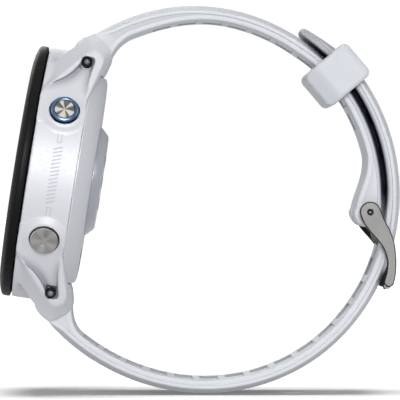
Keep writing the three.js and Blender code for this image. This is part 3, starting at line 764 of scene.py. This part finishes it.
# The block between the lugs, in the case's own axes: (along, deep) corners.
BLOCK_FRONT = ((19.3, 4.75), (24.2, 4.75), (25.4, 5.75), (26.7, 7.9))
BLOCK_BACK = ((22.5, 11.35), (20.4, 10.95), (19.3, 10.5))
SPACING = 0.45  # between points where the outline is eased
WALL = 0.06 / 33  # half the slant of a pocket's end wall, as an angle
SIDE_INSET_OUTER, SIDE_INSET_INNER = 1.82, 0.88  # how far in the flat of each side begins
# Degrees round the loop where the straps lie on each other and carry painted shade: both ends, each with its
# fading.
OVERLAP_START, OVERLAP_END, OVERLAP_LIMIT = (-7, 2), (43, 56), 58


# Radii of the straps' faces round the loop's middle, in millimetres, at an angle in radians.
def short_outer(angle):
    under_tip = 1 - smoothstep(angle, 46 * DEG, 56 * DEG)
    return SHORT_OUTER + 0.25 * smoothstep(angle, 60 * DEG, 100 * DEG) + 0.24 * under_tip


def short_inner(angle):
    swell = 1 - smoothstep(angle, PIVOT_ANGLE, 14 * DEG)
    root = smoothstep(angle, 80 * DEG, 110 * DEG)
    return short_outer(angle) - THICKNESS - (2 * BULB - THICKNESS) * swell - 0.75 * root


def long_outer(angle):
    return LONG_OUTER - LONG_SAG * (1 - smoothstep(angle, -125 * DEG, -42 * DEG))


def along_loop(radius_at, start, end, steps):
    return [loop_point(float(radius_at(a)), a) for a in np.linspace(start, end, steps)]


def pocketed(radius_at, start, end, pockets, length):
    """Angles for an inner face, with close pairs at the pockets' walls, and where it is sunk."""
    marks = {}
    steps = max(2, int(abs(end - start) / (1.2 * DEG)))
    for a in np.linspace(start, end, steps):
        marks[float(a)] = 0
    for first in pockets:
        last = first - length
        for a in list(marks):
            if last - WALL * 2 <= a <= first + WALL * 2:
                del marks[a]
        marks[first + WALL] = marks[last - WALL] = 0
        for a in np.linspace(last + WALL, first - WALL, 5):
            marks[float(a)] = 1
    order = sorted(marks, reverse=start > end)
    return [loop_point(float(radius_at(a)), a) for a in order], [marks[a] for a in order]


class Outline:
    """A strap seen from the side, point by point, with what each stretch of it is like."""

    def __init__(self):
        self.points, self.traits = [], [[] for _ in range(6)]

    # The last trait is painted shade for each point, used at the long strap's tip.
    def add(self, points, outer, step, sunk=0, scale=1.0, half=STRAP_HALF, tip_shade=0.0):
        self.points += [np.asarray(p, float) for p in points]
        for store, value in zip(self.traits, (outer, step, sunk, scale, half, tip_shade)):
            store += list(np.broadcast_to(np.asarray(value, float), len(points)))


def strap_mesh(outline, shaded_outside):
    """Rows of the outline across the width, drawn in towards the edges, and two stepped sides.

    Where the straps lie on each other, the faces between them carry painted shade; the pockets' walls, the
    side step and the long strap's tip are painted darker as shade too.
    """
    points = np.array(outline.points)
    outer, step, sunk, scale, half, tip_shade = (np.array(trait) for trait in outline.traits)
    heading = unit(unit(np.roll(points, -1, 0) - points) + unit(points - np.roll(points, 1, 0)))
    area = np.sum(points[:, 0] * np.roll(points[:, 1], -1) - np.roll(points[:, 0], -1) * points[:, 1])
    inward = left_of(heading) * np.sign(area)
    angle = np.arctan2(points[:, 1] - LOOP[2], points[:, 0] - LOOP[0]) / DEG
    covered = smoothstep(angle, *OVERLAP_START) * (1 - smoothstep(angle, *OVERLAP_END))
    covered = covered * (outer if shaded_outside else (1 - outer) * (angle < OVERLAP_LIMIT))
    rows = []
    for sign in (-1, 1):
        part = []
        for y in ROWS_ACROSS[sign > 0:]:
            depth = sunk * POCKET_DEPTH * (y < POCKET_HALF)
            # Painted shade on the pockets' side walls.
            wall = sunk * (abs(y - POCKET_HALF) < 0.1)
            part.append((y * half / STRAP_HALF, outer * CROWN * (y / STRAP_HALF) ** 2.6 + depth, 1, 1, wall))
        for dy, inset_outer, inset_inner, hatch, shade in EDGE_ROWS:
            y = half + dy - SIDE_GROOVE * step * (1 - outer)
            part.append((y, outer * inset_outer + (1 - outer) * inset_inner, hatch, shade, 0.0))
        flat = outer * SIDE_INSET_OUTER + (1 - outer) * SIDE_INSET_INNER
        # Painted shade along each side's step.
        part.append((half - SIDE_GROOVE * step, flat, 0, 0, 0.3 * step))
        for y, inset, hatch, shade, painted_shade in part[::sign]:
            place = points + inward * (inset * scale)[:, None]
            rows.append((np.stack([place[:, 0], sign * y, place[:, 1]], 1), hatch * outer, shade * covered,
                         np.maximum(painted_shade * (1 - covered), tip_shade)))
    vertices, faces = skin([row[0] for row in rows])
    faces = faces[2:]
    count = len(points)
    for base in (0, (len(rows) - 1) * count):
        ring = [Vector((*vertices[base + i][[0, 2]], 0)) for i in range(count)]
        faces += [tuple(base + k for k in face) for face in tessellate_polygon([ring])]
    values = (np.concatenate([row[k] for row in rows]) for k in (1, 2, 3))
    return vertices, faces, dict(zip(("hatch", "shade", "painted_shade"), values))


def spaced(points, gap):
    """The same open line with points added so that no two are further apart than gap."""
    line = [points[0]]
    for a, b in zip(points, points[1:]):
        pieces = max(1, int(np.ceil(np.linalg.norm(np.asarray(b) - np.asarray(a)) / gap)))
        line += [a + (b - a) * k / pieces for k in range(1, pieces + 1)]
    return line


def relaxed(points, rounds):
    """The same open line with its corners eased."""
    line = np.array(points)
    for _ in range(rounds):
        line[1:-1] = (line[:-2] + 2 * line[1:-1] + line[2:]) / 4
    return list(line)


def add_front(shape, end, outer_at, start, stop):
    """From between the lugs, over the block's front, on to the strap's outer face."""
    corners = [case_point(end * along, deep) for along, deep in BLOCK_FRONT]
    front = relaxed(spaced(corners + along_loop(outer_at, start, stop, 5), SPACING), 4)
    rise = smoothstep(np.arange(len(front)), len(front) * 0.55, len(front))
    shape.add(front, rise, rise * 0.6)


def add_back(shape, end, last, control):
    """From the strap's inner face round to the back of the block between the lugs."""
    corners = [case_point(end * along, deep) for along, deep in BLOCK_BACK]
    turn = smooth_curve((last, control, corners[0]), 9)[1:]
    tail = relaxed(spaced([last] + turn + corners[1:], SPACING), 3)[1:]
    shape.add(tail, 0, 1 - smoothstep(np.arange(len(tail)), 0, len(tail) * 0.6))


def upper_outline():
    """The short strap, from the lugs down to the buckle's hinge and back inside."""
    shape = Outline()
    add_front(shape, 1, short_outer, 121 * DEG, 116 * DEG)
    shape.add(along_loop(short_outer, 115 * DEG, PIVOT_ANGLE + 1 * DEG, 110), 1, 1)
    tangent = PIVOT_ANGLE / DEG
    bulb = arc(PIVOT[[0, 2]], BULB, tangent - 3, tangent - 177, 30)
    shape.add(bulb, 1 - smoothstep(np.arange(30), 2, 20), 1)
    inner, sunk = pocketed(short_inner, PIVOT_ANGLE + 1 * DEG, 113 * DEG,
                           [(104.5 - 8.5 * k) * DEG for k in range(10)], 6.1 * DEG)
    shape.add(inner, 0, 1, np.array(sunk) * 0.6)
    add_back(shape, 1, inner[-1], loop_point(31.3, 118.0 * DEG))
    return shape


def lower_outline():
    """The long strap, from the lugs round the outside to its tip and back inside."""
    shape = Outline()
    taper, tip = 42.5 * DEG, 57.5 * DEG
    add_front(shape, -1, long_outer, -139 * DEG, -134 * DEG)
    outer = along_loop(long_outer, -133 * DEG, taper, 190)
    shape.add(outer, 1, 1)
    tip_outer, tip_inner = (loop_point(radius, tip - 0.9 * DEG) for radius in (36.7, 35.25))
    lead = smooth_curve((outer[-1], loop_point(LONG_OUTER - 0.4, taper + 5.5 * DEG), tip_outer), 16)[1:]
    t = np.linspace(0, 1, len(lead))
    narrow = STRAP_HALF - 3.4 * np.clip((t - 0.45) / 0.55, 0, 1) ** 2.4
    # The tip's lead, nose and underside are painted darker as shade.
    shape.add(lead, 1, 1 - t, scale=1 - 0.55 * t, half=narrow, tip_shade=0.6 * smoothstep(t, 0, 0.3))
    nose = [loop_point(36.35, tip), loop_point(35.98, tip + 0.1 * DEG), loop_point(35.6, tip)]
    shape.add(nose, (0.7, 0.5, 0.3), 0, scale=0.4, half=narrow[-1] - 0.3, tip_shade=0.6)
    first = loop_point(long_outer(taper) - THICKNESS, taper)
    under = smooth_curve((tip_inner, loop_point(35, taper + 5 * DEG), first), 16)[:-1]
    shape.add(under, 0, t, scale=0.45 + 0.55 * t, half=narrow[::-1], tip_shade=0.6 * smoothstep(1 - t, 0, 0.3))
    inner, sunk = pocketed(lambda a: long_outer(a) - THICKNESS, taper, -129.5 * DEG,
                           [(-19.6 - 7.94 * k) * DEG for k in range(14)], 5.6 * DEG)
    shape.add(inner, 0, 1, sunk)
    add_back(shape, -1, inner[-1], loop_point(33.3, -134 * DEG))
    return shape


def round_slot(half_width, half_length, inner, outer, angle, radius=0.9):
    """A cutter through a strap: an oblong hole with round corners."""
    shape = []
    for side, way, start in ((1, 1, 0), (-1, 1, 90), (-1, -1, 180), (1, -1, 270)):
        centre = (side * (half_width - radius), way * (half_length - radius))
        shape += arc(centre, radius, start, start + 90, 6)
    points, faces = skin([[(depth, y, t) for y, t in shape] for depth in (inner, outer)])
    return solid(from_loop(points, angle), faces)


def along_y(radius, y0, y1, centre):
    return solid(*lying([(0, y0), (radius, y0), (radius, y1), (0, y1)], centre, 48))


def case_box(x0, x1, y0, y1, z0, z1):
    points, faces = box(x0, x1, y0, y1, z0, z1)
    return solid(from_case(points), faces)


def bar_room(end):
    """Cutters for the spring bar, its release knob and the finger nail."""
    x = end * PIN_ALONG
    bar = from_case([x, 0, -PIN_DEEP])
    return [along_y(1.15, -15, 15, bar), case_box(x - 1.2, x + 1.2, -9.3, -5.5, -13.4, -PIN_DEEP),
            case_box(x - 1.2, x + 1.2, -12, -5.5, -13.4, -10.0)]


def strap(name, end, outline, shaded_outside, holes):
    points, faces, extra = strap_mesh(outline, shaded_outside)
    piece = make(f"{name}_band", points, faces, STRAP, "watch", "strap_silicone", [f"{name}_strap"],
                 attributes=extra)
    combine(piece, holes + bar_room(end), sharp=40.0)


tongue_room = round_slot(1.55, 6.0, 25, 40, PIVOT_ANGLE + 4.3 * DEG - 6.0 / PIVOT_RADIUS, 0.6)
strap("upper", 1, upper_outline(), True, [tongue_room, along_y(0.92, -15, 15, PIVOT)])
HOLE_ANGLE, HOLE_PITCH = -15.5 * DEG, 11.2 * DEG
holes = [round_slot(1.5, 2.6, 30, 42, HOLE_ANGLE + k * HOLE_PITCH) for k in range(-4, 6)]
strap("lower", -1, lower_outline(), False, holes)

# ---- keeper ----
KEEPER_ANGLE = 40.3 * DEG
KEEPER_INNER, KEEPER_OUTER, KEEPER_HALF, KEEPER_REACH = 28.8, 38.75, 3.8, 13.2


def rounded_box_field(u, v, low, high, radius):
    """Distance outside a rectangle with round corners."""
    cu, cv = (low[0] + high[0]) / 2, (low[1] + high[1]) / 2
    hu, hv = (high[0] - low[0]) / 2 - radius, (high[1] - low[1]) / 2 - radius
    du, dv = np.abs(u - cu) - hu, np.abs(v - cv) - hv
    return np.hypot(np.maximum(du, 0), np.maximum(dv, 0)) + np.minimum(np.maximum(du, dv), 0) - radius


def keeper_field(p):
    """The strap's loop, given outwards, across and along the strap."""
    r, y, t = p[..., 0], p[..., 1], p[..., 2]
    side = rounded_box_field(r, t, (KEEPER_INNER, -KEEPER_HALF), (KEEPER_OUTER, KEEPER_HALF), 1.25)
    pinch = 1.5 * (1 - smoothstep(r, KEEPER_INNER - 0.6, KEEPER_INNER + 3.4)) + 0.45 * smoothstep(
        r, KEEPER_OUTER - 1.2, KEEPER_OUTER + 0.3)
    field = smax(side, np.abs(y) + pinch - KEEPER_REACH, 0.7)
    opening = rounded_box_field(r, y, (31.4, -11.35), (37.95, 11.35), 0.7)
    return smax(field, -opening, 0.35)


points, faces = contour(keeper_field, (28.3, -13.7, -4.3), (39.3, 13.7, 4.3), 0.22)
make("strap_keeper", from_loop(points, KEEPER_ANGLE), faces, STRAP_PLAIN, "keeper", "strap_silicone",
     ["keeper"], sharp=50.0)

# ---- buckle ----
BUCKLE_INSIDE, BUCKLE_OUTSIDE = 11.35, 13.4
PIN_RADIUS = 0.72
BUCKLE_EDGE = 0.2
CROSSBAR_ANGLE, CROSSBAR_SPREAD = -24.3 * DEG, 1.95 * DEG
CROSSBAR_INNER, CROSSBAR_OUTER = LONG_OUTER + 0.3, LONG_OUTER + 1.55


def through(knots, count):
    """Points on a smooth curve through all the knots."""
    knots = np.asarray(knots, float)
    padded = np.concatenate([[2 * knots[0] - knots[1]], knots, [2 * knots[-1] - knots[-2]]])
    curve = []
    for t in np.linspace(0, len(knots) - 1 - 1e-6, count):
        k, f = int(t), t - int(t)
        p0, p1, p2, p3 = padded[k:k + 4]
        curve.append(0.5 * (2 * p1 + (p2 - p0) * f + (2 * p0 - 5 * p1 + 4 * p2 - p3) * f * f
                            + (3 * p1 - p0 - 3 * p2 + p3) * f ** 3))
    return np.array(curve)


# Middle line of a buckle arm from the hinge to the foot, with half its width: x, z, half width.
ARM_LINE = [(0.0, 0.0, 1.9), (0.55, -1.3, 1.86), (1.35, -2.65, 1.7), (2.35, -4.1, 1.48), (3.3, -5.95, 1.14),
            (3.85, -8.3, 0.85), (3.9, -9.9, 0.83), (3.74, -11.35, 0.88), (3.4, -12.7, 0.93)]


def band_sides(line, reach):
    """Both edges of a band along an open line, and the directions to its left."""
    left = left_of(unit(np.gradient(line, axis=0)))
    return line + left * reach[:, None], line - left * reach[:, None], left


def arm_outline(shrink):
    """The arm seen from the side, drawn in from its edge by a little."""
    knots = through(ARM_LINE, 46)
    line, reach = knots[:, :2], knots[:, 2] - shrink
    outer, inner, left = band_sides(line, reach)

    def rounded_end(end, first, steps):
        start = math.atan2(first[1], first[0])
        turns = np.linspace(start, start - math.pi, steps + 1)[1:-1]
        return [line[end] + reach[end] * np.array([math.cos(a), math.sin(a)]) for a in turns]

    outline = [*inner[::-1], *rounded_end(0, -left[0], 24), *outer, *rounded_end(-1, left[-1], 16)]
    return np.array(outline) + PIVOT[[0, 2]]


def edged_plate(y0, y1):
    """A buckle arm with a chamfer all round both faces."""
    levels = ((y0, BUCKLE_EDGE), (y0 + BUCKLE_EDGE, 0.0), (y1 - BUCKLE_EDGE, 0.0), (y1, BUCKLE_EDGE))
    return skin([[(x, y, z) for x, z in arm_outline(shrink)] for y, shrink in levels])


def crossbar_outline():
    """The bar that the tongue rests on: flat inside, rounded outside."""
    low, high = CROSSBAR_ANGLE - CROSSBAR_SPREAD, CROSSBAR_ANGLE + CROSSBAR_SPREAD
    top = [loop_point(CROSSBAR_OUTER - 0.25 * abs(s) ** 3, CROSSBAR_ANGLE + s * CROSSBAR_SPREAD)
           for s in np.linspace(-1, 1, 11)]
    return [loop_point(CROSSBAR_INNER, low)] + top + [loop_point(CROSSBAR_INNER, high)]


points, faces = edged_plate(-BUCKLE_OUTSIDE, -BUCKLE_INSIDE)
buckle = make("buckle_bow", points, faces, [GUNMETAL, EDGE_SHADE], "buckle_frame", "buckle_metal",
              ["buckle_frame"])
far_arm = solid(*edged_plate(BUCKLE_INSIDE, BUCKLE_OUTSIDE))
crossbar = solid(*prism(crossbar_outline(), -BUCKLE_OUTSIDE + 0.4, BUCKLE_OUTSIDE - 0.4))
combine(buckle, [far_arm, crossbar], operation="UNION", sharp=28.0)
notch_floor = CROSSBAR_OUTER - 0.8
points, faces = box(notch_floor, notch_floor + 4, -1.5, 1.5, -4, 4)
notch = solid(from_loop(points, CROSSBAR_ANGLE), faces)
combine(buckle, [notch, along_y(0.62, -20, 20, PIVOT)], sharp=28.0)


def buckle_shade_faces(place, normal):
    """Chamfers, inward faces and the crossbar's underside, painted black as their shade and dark reflections.
    """
    chamfer = abs(place[1]) > BUCKLE_OUTSIDE - BUCKLE_EDGE - 0.01 and abs(normal[1]) < 0.9
    inward = normal[1] * place[1] < 0 and abs(normal[1]) > 0.3
    bar_out = (math.cos(CROSSBAR_ANGLE), 0, math.sin(CROSSBAR_ANGLE))
    on_bar = place[2] < PIVOT[2] - 9 and abs(normal[1]) < 0.3
    under_bar = on_bar and abs(place[1]) < BUCKLE_OUTSIDE - 0.3 and normal @ bar_out < 0.5
    return chamfer or inward or under_bar


# Painted shade on the buckle's chamfers, inner faces and the crossbar's underside.
paint_faces(buckle, 1, buckle_shade_faces)

PIN_PROFILE = [(0, -12.95), (0.2, -12.95), (0.26, -13.05), (0.5, -13.05), (0.58, -12.9), (0.58, 12.9),
               (0.5, 13.05), (0.26, 13.05), (0.2, 12.95), (0, 12.95)]
hinge_pin = make("buckle_hinge_pin", *lying(PIN_PROFILE, PIVOT, 48), [GUNMETAL, EDGE_SHADE], "watch",
                 "steel", ["buckle_pin"])
# Painted shade: the pin is dark but for a small dot in the middle of each end, as the hole round it is in
# shade.
paint_faces(hinge_pin, 1, lambda place, normal: math.hypot(*(place - PIVOT)[[0, 2]]) > 0.24)

TONGUE_STEPS, TONGUE_REACH = 44, 0.45  # points along it, and half its thickness
# Middle line of the tongue: from the pin, under the strap, out through a hole, on to the bar.
TONGUE_LINE = [(PIVOT_RADIUS + 1.15, PIVOT_ANGLE / DEG), (33.4, -11.0), (34.6, -14.4), (37.6, -16.6),
               (38.8, -20.0), (CROSSBAR_OUTER - 0.05, -24.3), (CROSSBAR_OUTER - 0.2, -26.6)]
line = through([loop_point(radius, angle * DEG) for radius, angle in TONGUE_LINE], TONGUE_STEPS)
reach = TONGUE_REACH * np.sqrt(np.clip(np.arange(TONGUE_STEPS)[::-1] / 3, 0.15, 1))
top, bottom, _ = band_sides(line, reach)
points, faces = prism([*top, *bottom[::-1]], -1.1, 1.1)
tongue = make("buckle_prong", points, faces, [GUNMETAL, EDGE_SHADE], "buckle_tongue", "buckle_metal",
              ["buckle_tongue"])
combine(tongue, [along_y(1.65, -1.1001, 1.1001, PIVOT)], operation="UNION")
combine(tongue, [along_y(PIN_RADIUS + 0.05, -3, 3, PIVOT)])
bevel(tongue, 0.15, 50.0)

# ---- back of the case ----
COVER = [(8.6, -11.6), (17.6, -11.6), (18.1, -11.57), (18.5, -11.45), (20.2, -10.85), (21.6, -10.0),
         (22.9, -9.15), (23.2, -8.95), (23.2, -8.78), (21.0, -8.78), (19.6, -9.8), (8.6, -10.6)]
cover = case_lathe("back_shell", COVER, 192, GREY, "grey_polymer", "back_cover")
flats = [case_box(19, 30, -11.3, 11.3, -14, 2), case_box(-30, -19, -11.3, 11.3, -14, 2)]
port_hole = case_box(-17.05, -12.55, -4.25, 4.25, -13, -5)
combine(cover, flats + [port_hole])
WINDOW = [(0, -13.35), (7.9, -13.35), (8.5, -13.3), (8.8, -13.15), (10.0, -11.95), (10.2, -11.7),
          (10.2, -11.62), (0, -11.62)]
case_lathe("sensor_dome", WINDOW, 128, SENSOR, "sensor_glass", "sensor_window")


def inlay(name, places, radius, material):
    """Round windows in the sensor's face."""
    profile = [(0, -13.33), (radius, -13.33), (radius - 0.08, -13.4), (0, -13.4)]
    points, faces, _ = lathe(profile, 32)
    points, faces = joined([(points + (x, y, 0), faces) for x, y in places])
    make(name, from_case(points), faces, material, "watch", "sensor_glass")


inlay("sensor_lamps", [(0, 0), (2.9, 0), (-2.9, 0)], 0.85, SENSOR_GREEN)
eyes = [(4.4, 90), (4.4, 270), (5.6, 45), (5.6, 135), (5.6, 225), (5.6, 315)]
inlay("sensor_eyes", [(r * math.cos(a * DEG), r * math.sin(a * DEG)) for r, a in eyes], 1.15, SENSOR_EYE)

# ---- release pins and side marks ----
# Profiles as (radius, place along the pin) and as (radius, height above the pin's axis).
RELEASE_PROFILE = [(0, -12.95), (0.4, -12.95), (0.55, -12.85), (0.6, -12.65), (0.6, -11.9), (0.48, -11.75),
                   (0.48, -5.8), (0, -5.8)]
KNOB_PROFILE = [(0, -3.55), (0.7, -3.55), (0.82, -3.45), (0.82, -2.95), (0.7, -2.85), (0.36, -2.85),
                (0.36, 0.2), (0, 0.2)]
KNOB_PLACE = -8.2  # along the pin, across the strap
for name, end in (("upper", 1), ("lower", -1)):
    axis = np.array([end * PIN_ALONG, 0, -PIN_DEEP])
    points, faces = lying(RELEASE_PROFILE, axis, 32)
    pin = make(f"{name}_release_pin", from_case(points), faces, BAR_PIN_SHADE, f"{name}_release", "steel",
               [f"{name}_bar_pin"])
    points, faces, _ = lathe(KNOB_PROFILE, 32)
    knob = solid(from_case(points + axis + (0, KNOB_PLACE, 0)), faces)
    combine(pin, [knob], operation="UNION")


def curved_marks(name, strokes, width):
    """Thin raised strokes on the case's 3 o'clock side, from (along, deep) lines."""
    solids = []
    for start, end in strokes:
        start, end = np.array(start, float), np.array(end, float)
        across = left_of(unit(end - start)) * width / 2
        rings = []
        for t in np.linspace(0, 1, 5):
            ring = []
            for sign, lift in ((-1, -0.03), (1, -0.03), (1, 0.035), (-1, 0.035)):
                along, deep = start + (end - start) * t + sign * across
                ring.append((along, -math.sqrt(CASE_RADIUS ** 2 - along ** 2) - lift, -deep))
            rings.append(ring)
        solids.append(skin(rings))
    points, faces = joined(solids)
    make(name, from_case(points), faces, PRINT, "watch", "white_polymer", sharp=30.0)


MARK_DEPTH = 4.9  # below the case's front edge
brackets = []
for sign in (-1, 1):
    near, far = sign * 5.95, sign * 7.75
    brackets += [((near, MARK_DEPTH + rise), (far, MARK_DEPTH + rise)) for rise in (-0.36, 0.36)]
    brackets.append(((near, MARK_DEPTH - 0.44), (near, MARK_DEPTH + 0.44)))
ticks = [((along - 0.28, MARK_DEPTH - 0.8), (along + 0.28, MARK_DEPTH + 0.8))
         for along in np.arange(-4.9, 5.0, 0.7)]
curved_marks("side_brackets", brackets, 0.15)
curved_marks("side_ticks", ticks, 0.24)

# ---- carried-over CAD parts ----
# A node takes the finish of the first of these that its name holds.
FINISHES = {
    "lens_gasket": RUBBER, "display_module": DISPLAY, "inner_frame": BLACK, "main_board": BOARD,
    "processor_shield": STEEL, "gps_antenna": GOLD, "battery": GREY, "vibration_motor": STEEL,
    "piezo_buzzer": GOLD, "back_gasket": RUBBER, "sensor_board": BOARD, "charging_port": BLACK,
    "_seal": RUBBER, "_switch": BLACK, "charge_contact": GOLD, "_bar_tube": BAR_TUBE_SHADE, "back_screw": STEEL,
}
for name, node in frame["nodes"].items():
    finish = next((FINISHES[part] for part in FINISHES if part in name), None)
    if finish is not None:
        node.data.materials.clear()
        node.data.materials.append(finish)

# ---- stage ----
WATCH_MIDDLE = Vector((0, 0, 0.036))


def studio_floor():
    """White paper that throws little light back up, as if it lay on a dark table."""
    n = Nodes("studio_floor")
    seen = n.node("LightPath").outputs["Is Camera Ray"]
    fibre = n.spread(n.noise(900.0), 0.0, 1.0, 0.3, 0.7)
    paper = n.mix(fibre, (0.352, 0.352, 0.353), (0.36, 0.36, 0.36))
    n.set(Base_Color=n.mix(seen, (0.1, 0.1, 0.102), paper), Roughness=n.spread(fibre, 0.85, 0.95),
          Specular_IOR_Level=0.0, Emission_Color=(1.0, 1.0, 1.0), Emission_Strength=n.spread(seen, 0.36, 0.1))
    mesh = bpy.data.meshes.new("floor")
    mesh.from_pydata([(-9, -9, 0), (9, -9, 0), (9, 9, 0), (-9, 9, 0)], [], [(0, 1, 2, 3)])
    floor = add_object("floor", mesh)
    mesh.materials.append(n.material)
    return floor


floor = studio_floor()

world = bpy.data.worlds.new("studio")
scene.world = world
world.use_nodes = True
# The studio is white where the camera sees it and dimmer as a light, as with a lit backdrop.
STUDIO_LIGHT, STUDIO_WHITE = 0.38, 1.02
shine = world.node_tree.nodes["Background"]
shine.inputs["Color"].default_value = (1, 1, 1, 1)
path = world.node_tree.nodes.new("ShaderNodeLightPath")
level = world.node_tree.nodes.new("ShaderNodeMapRange")
level.inputs["To Min"].default_value = STUDIO_LIGHT
level.inputs["To Max"].default_value = STUDIO_WHITE
world.node_tree.links.new(path.outputs["Is Camera Ray"], level.inputs["Value"])
world.node_tree.links.new(level.outputs["Result"], shine.inputs["Strength"])


def light(name, kind, place, direction, **settings):
    data = bpy.data.lights.new(name, kind)
    for key, value in settings.items():
        setattr(data, key, value)
    lamp = add_object(name, data)
    lamp.location = place
    lamp.rotation_euler = Vector(direction).to_track_quat("-Z", "Y").to_euler()
    return lamp


def soft_light(name, place, width, height, power):
    """A rectangular light aimed at the middle of the watch."""
    return light(name, "AREA", place, WATCH_MIDDLE - Vector(place), shape="RECTANGLE", size=width,
                 size_y=height, energy=power)


def overhead(name, direction, spread, power):
    """A wide, even light from above, which is the same everywhere on the floor."""
    return light(name, "SUN", (0, 0, 0), direction, angle=spread * DEG, energy=power)


soft_light("front", (0.05, -1.25, 0.42), 0.35, 0.35, 8.2)
soft_light("rear", (-0.2, 1.2, 0.5), 0.6, 0.6, 3.0)
overhead("overhead", (0.0, 0.25, -1), 75, 0.6)
paper_light = overhead("paper_light", (0.0, 0.05, -1), 36, 7.5)
paper_only = bpy.data.collections.new("paper_only")
paper_only.objects.link(floor)
paper_light.light_linking.receiver_collection = paper_only
# These only glint on edges and glossy faces.
for glint in (soft_light("gloss_left", (-1.2, -0.15, 0.1), 0.7, 1.6, 9.0),
              soft_light("gloss_right", (1.2, -0.15, 0.1), 0.7, 1.6, 9.0),
              soft_light("gloss_front", (0.0, -1.3, 0.12), 0.45, 0.45, 8.0)):
    glint.visible_diffuse = False

camera_data = bpy.data.cameras.new("camera")
camera = add_object("camera", camera_data)
camera_data.lens = 375.0
camera_data.sensor_width = 36.0
camera_data.clip_start, camera_data.clip_end = 0.05, 20.0
camera.location = (-0.010, -0.772, 0.03569)
aim = Vector((0.00009, 0, 0.03569))
camera.rotation_euler = (aim - camera.location).to_track_quat("-Z", "Y").to_euler()
scene.camera = camera
scene.view_settings.view_transform = "Standard"
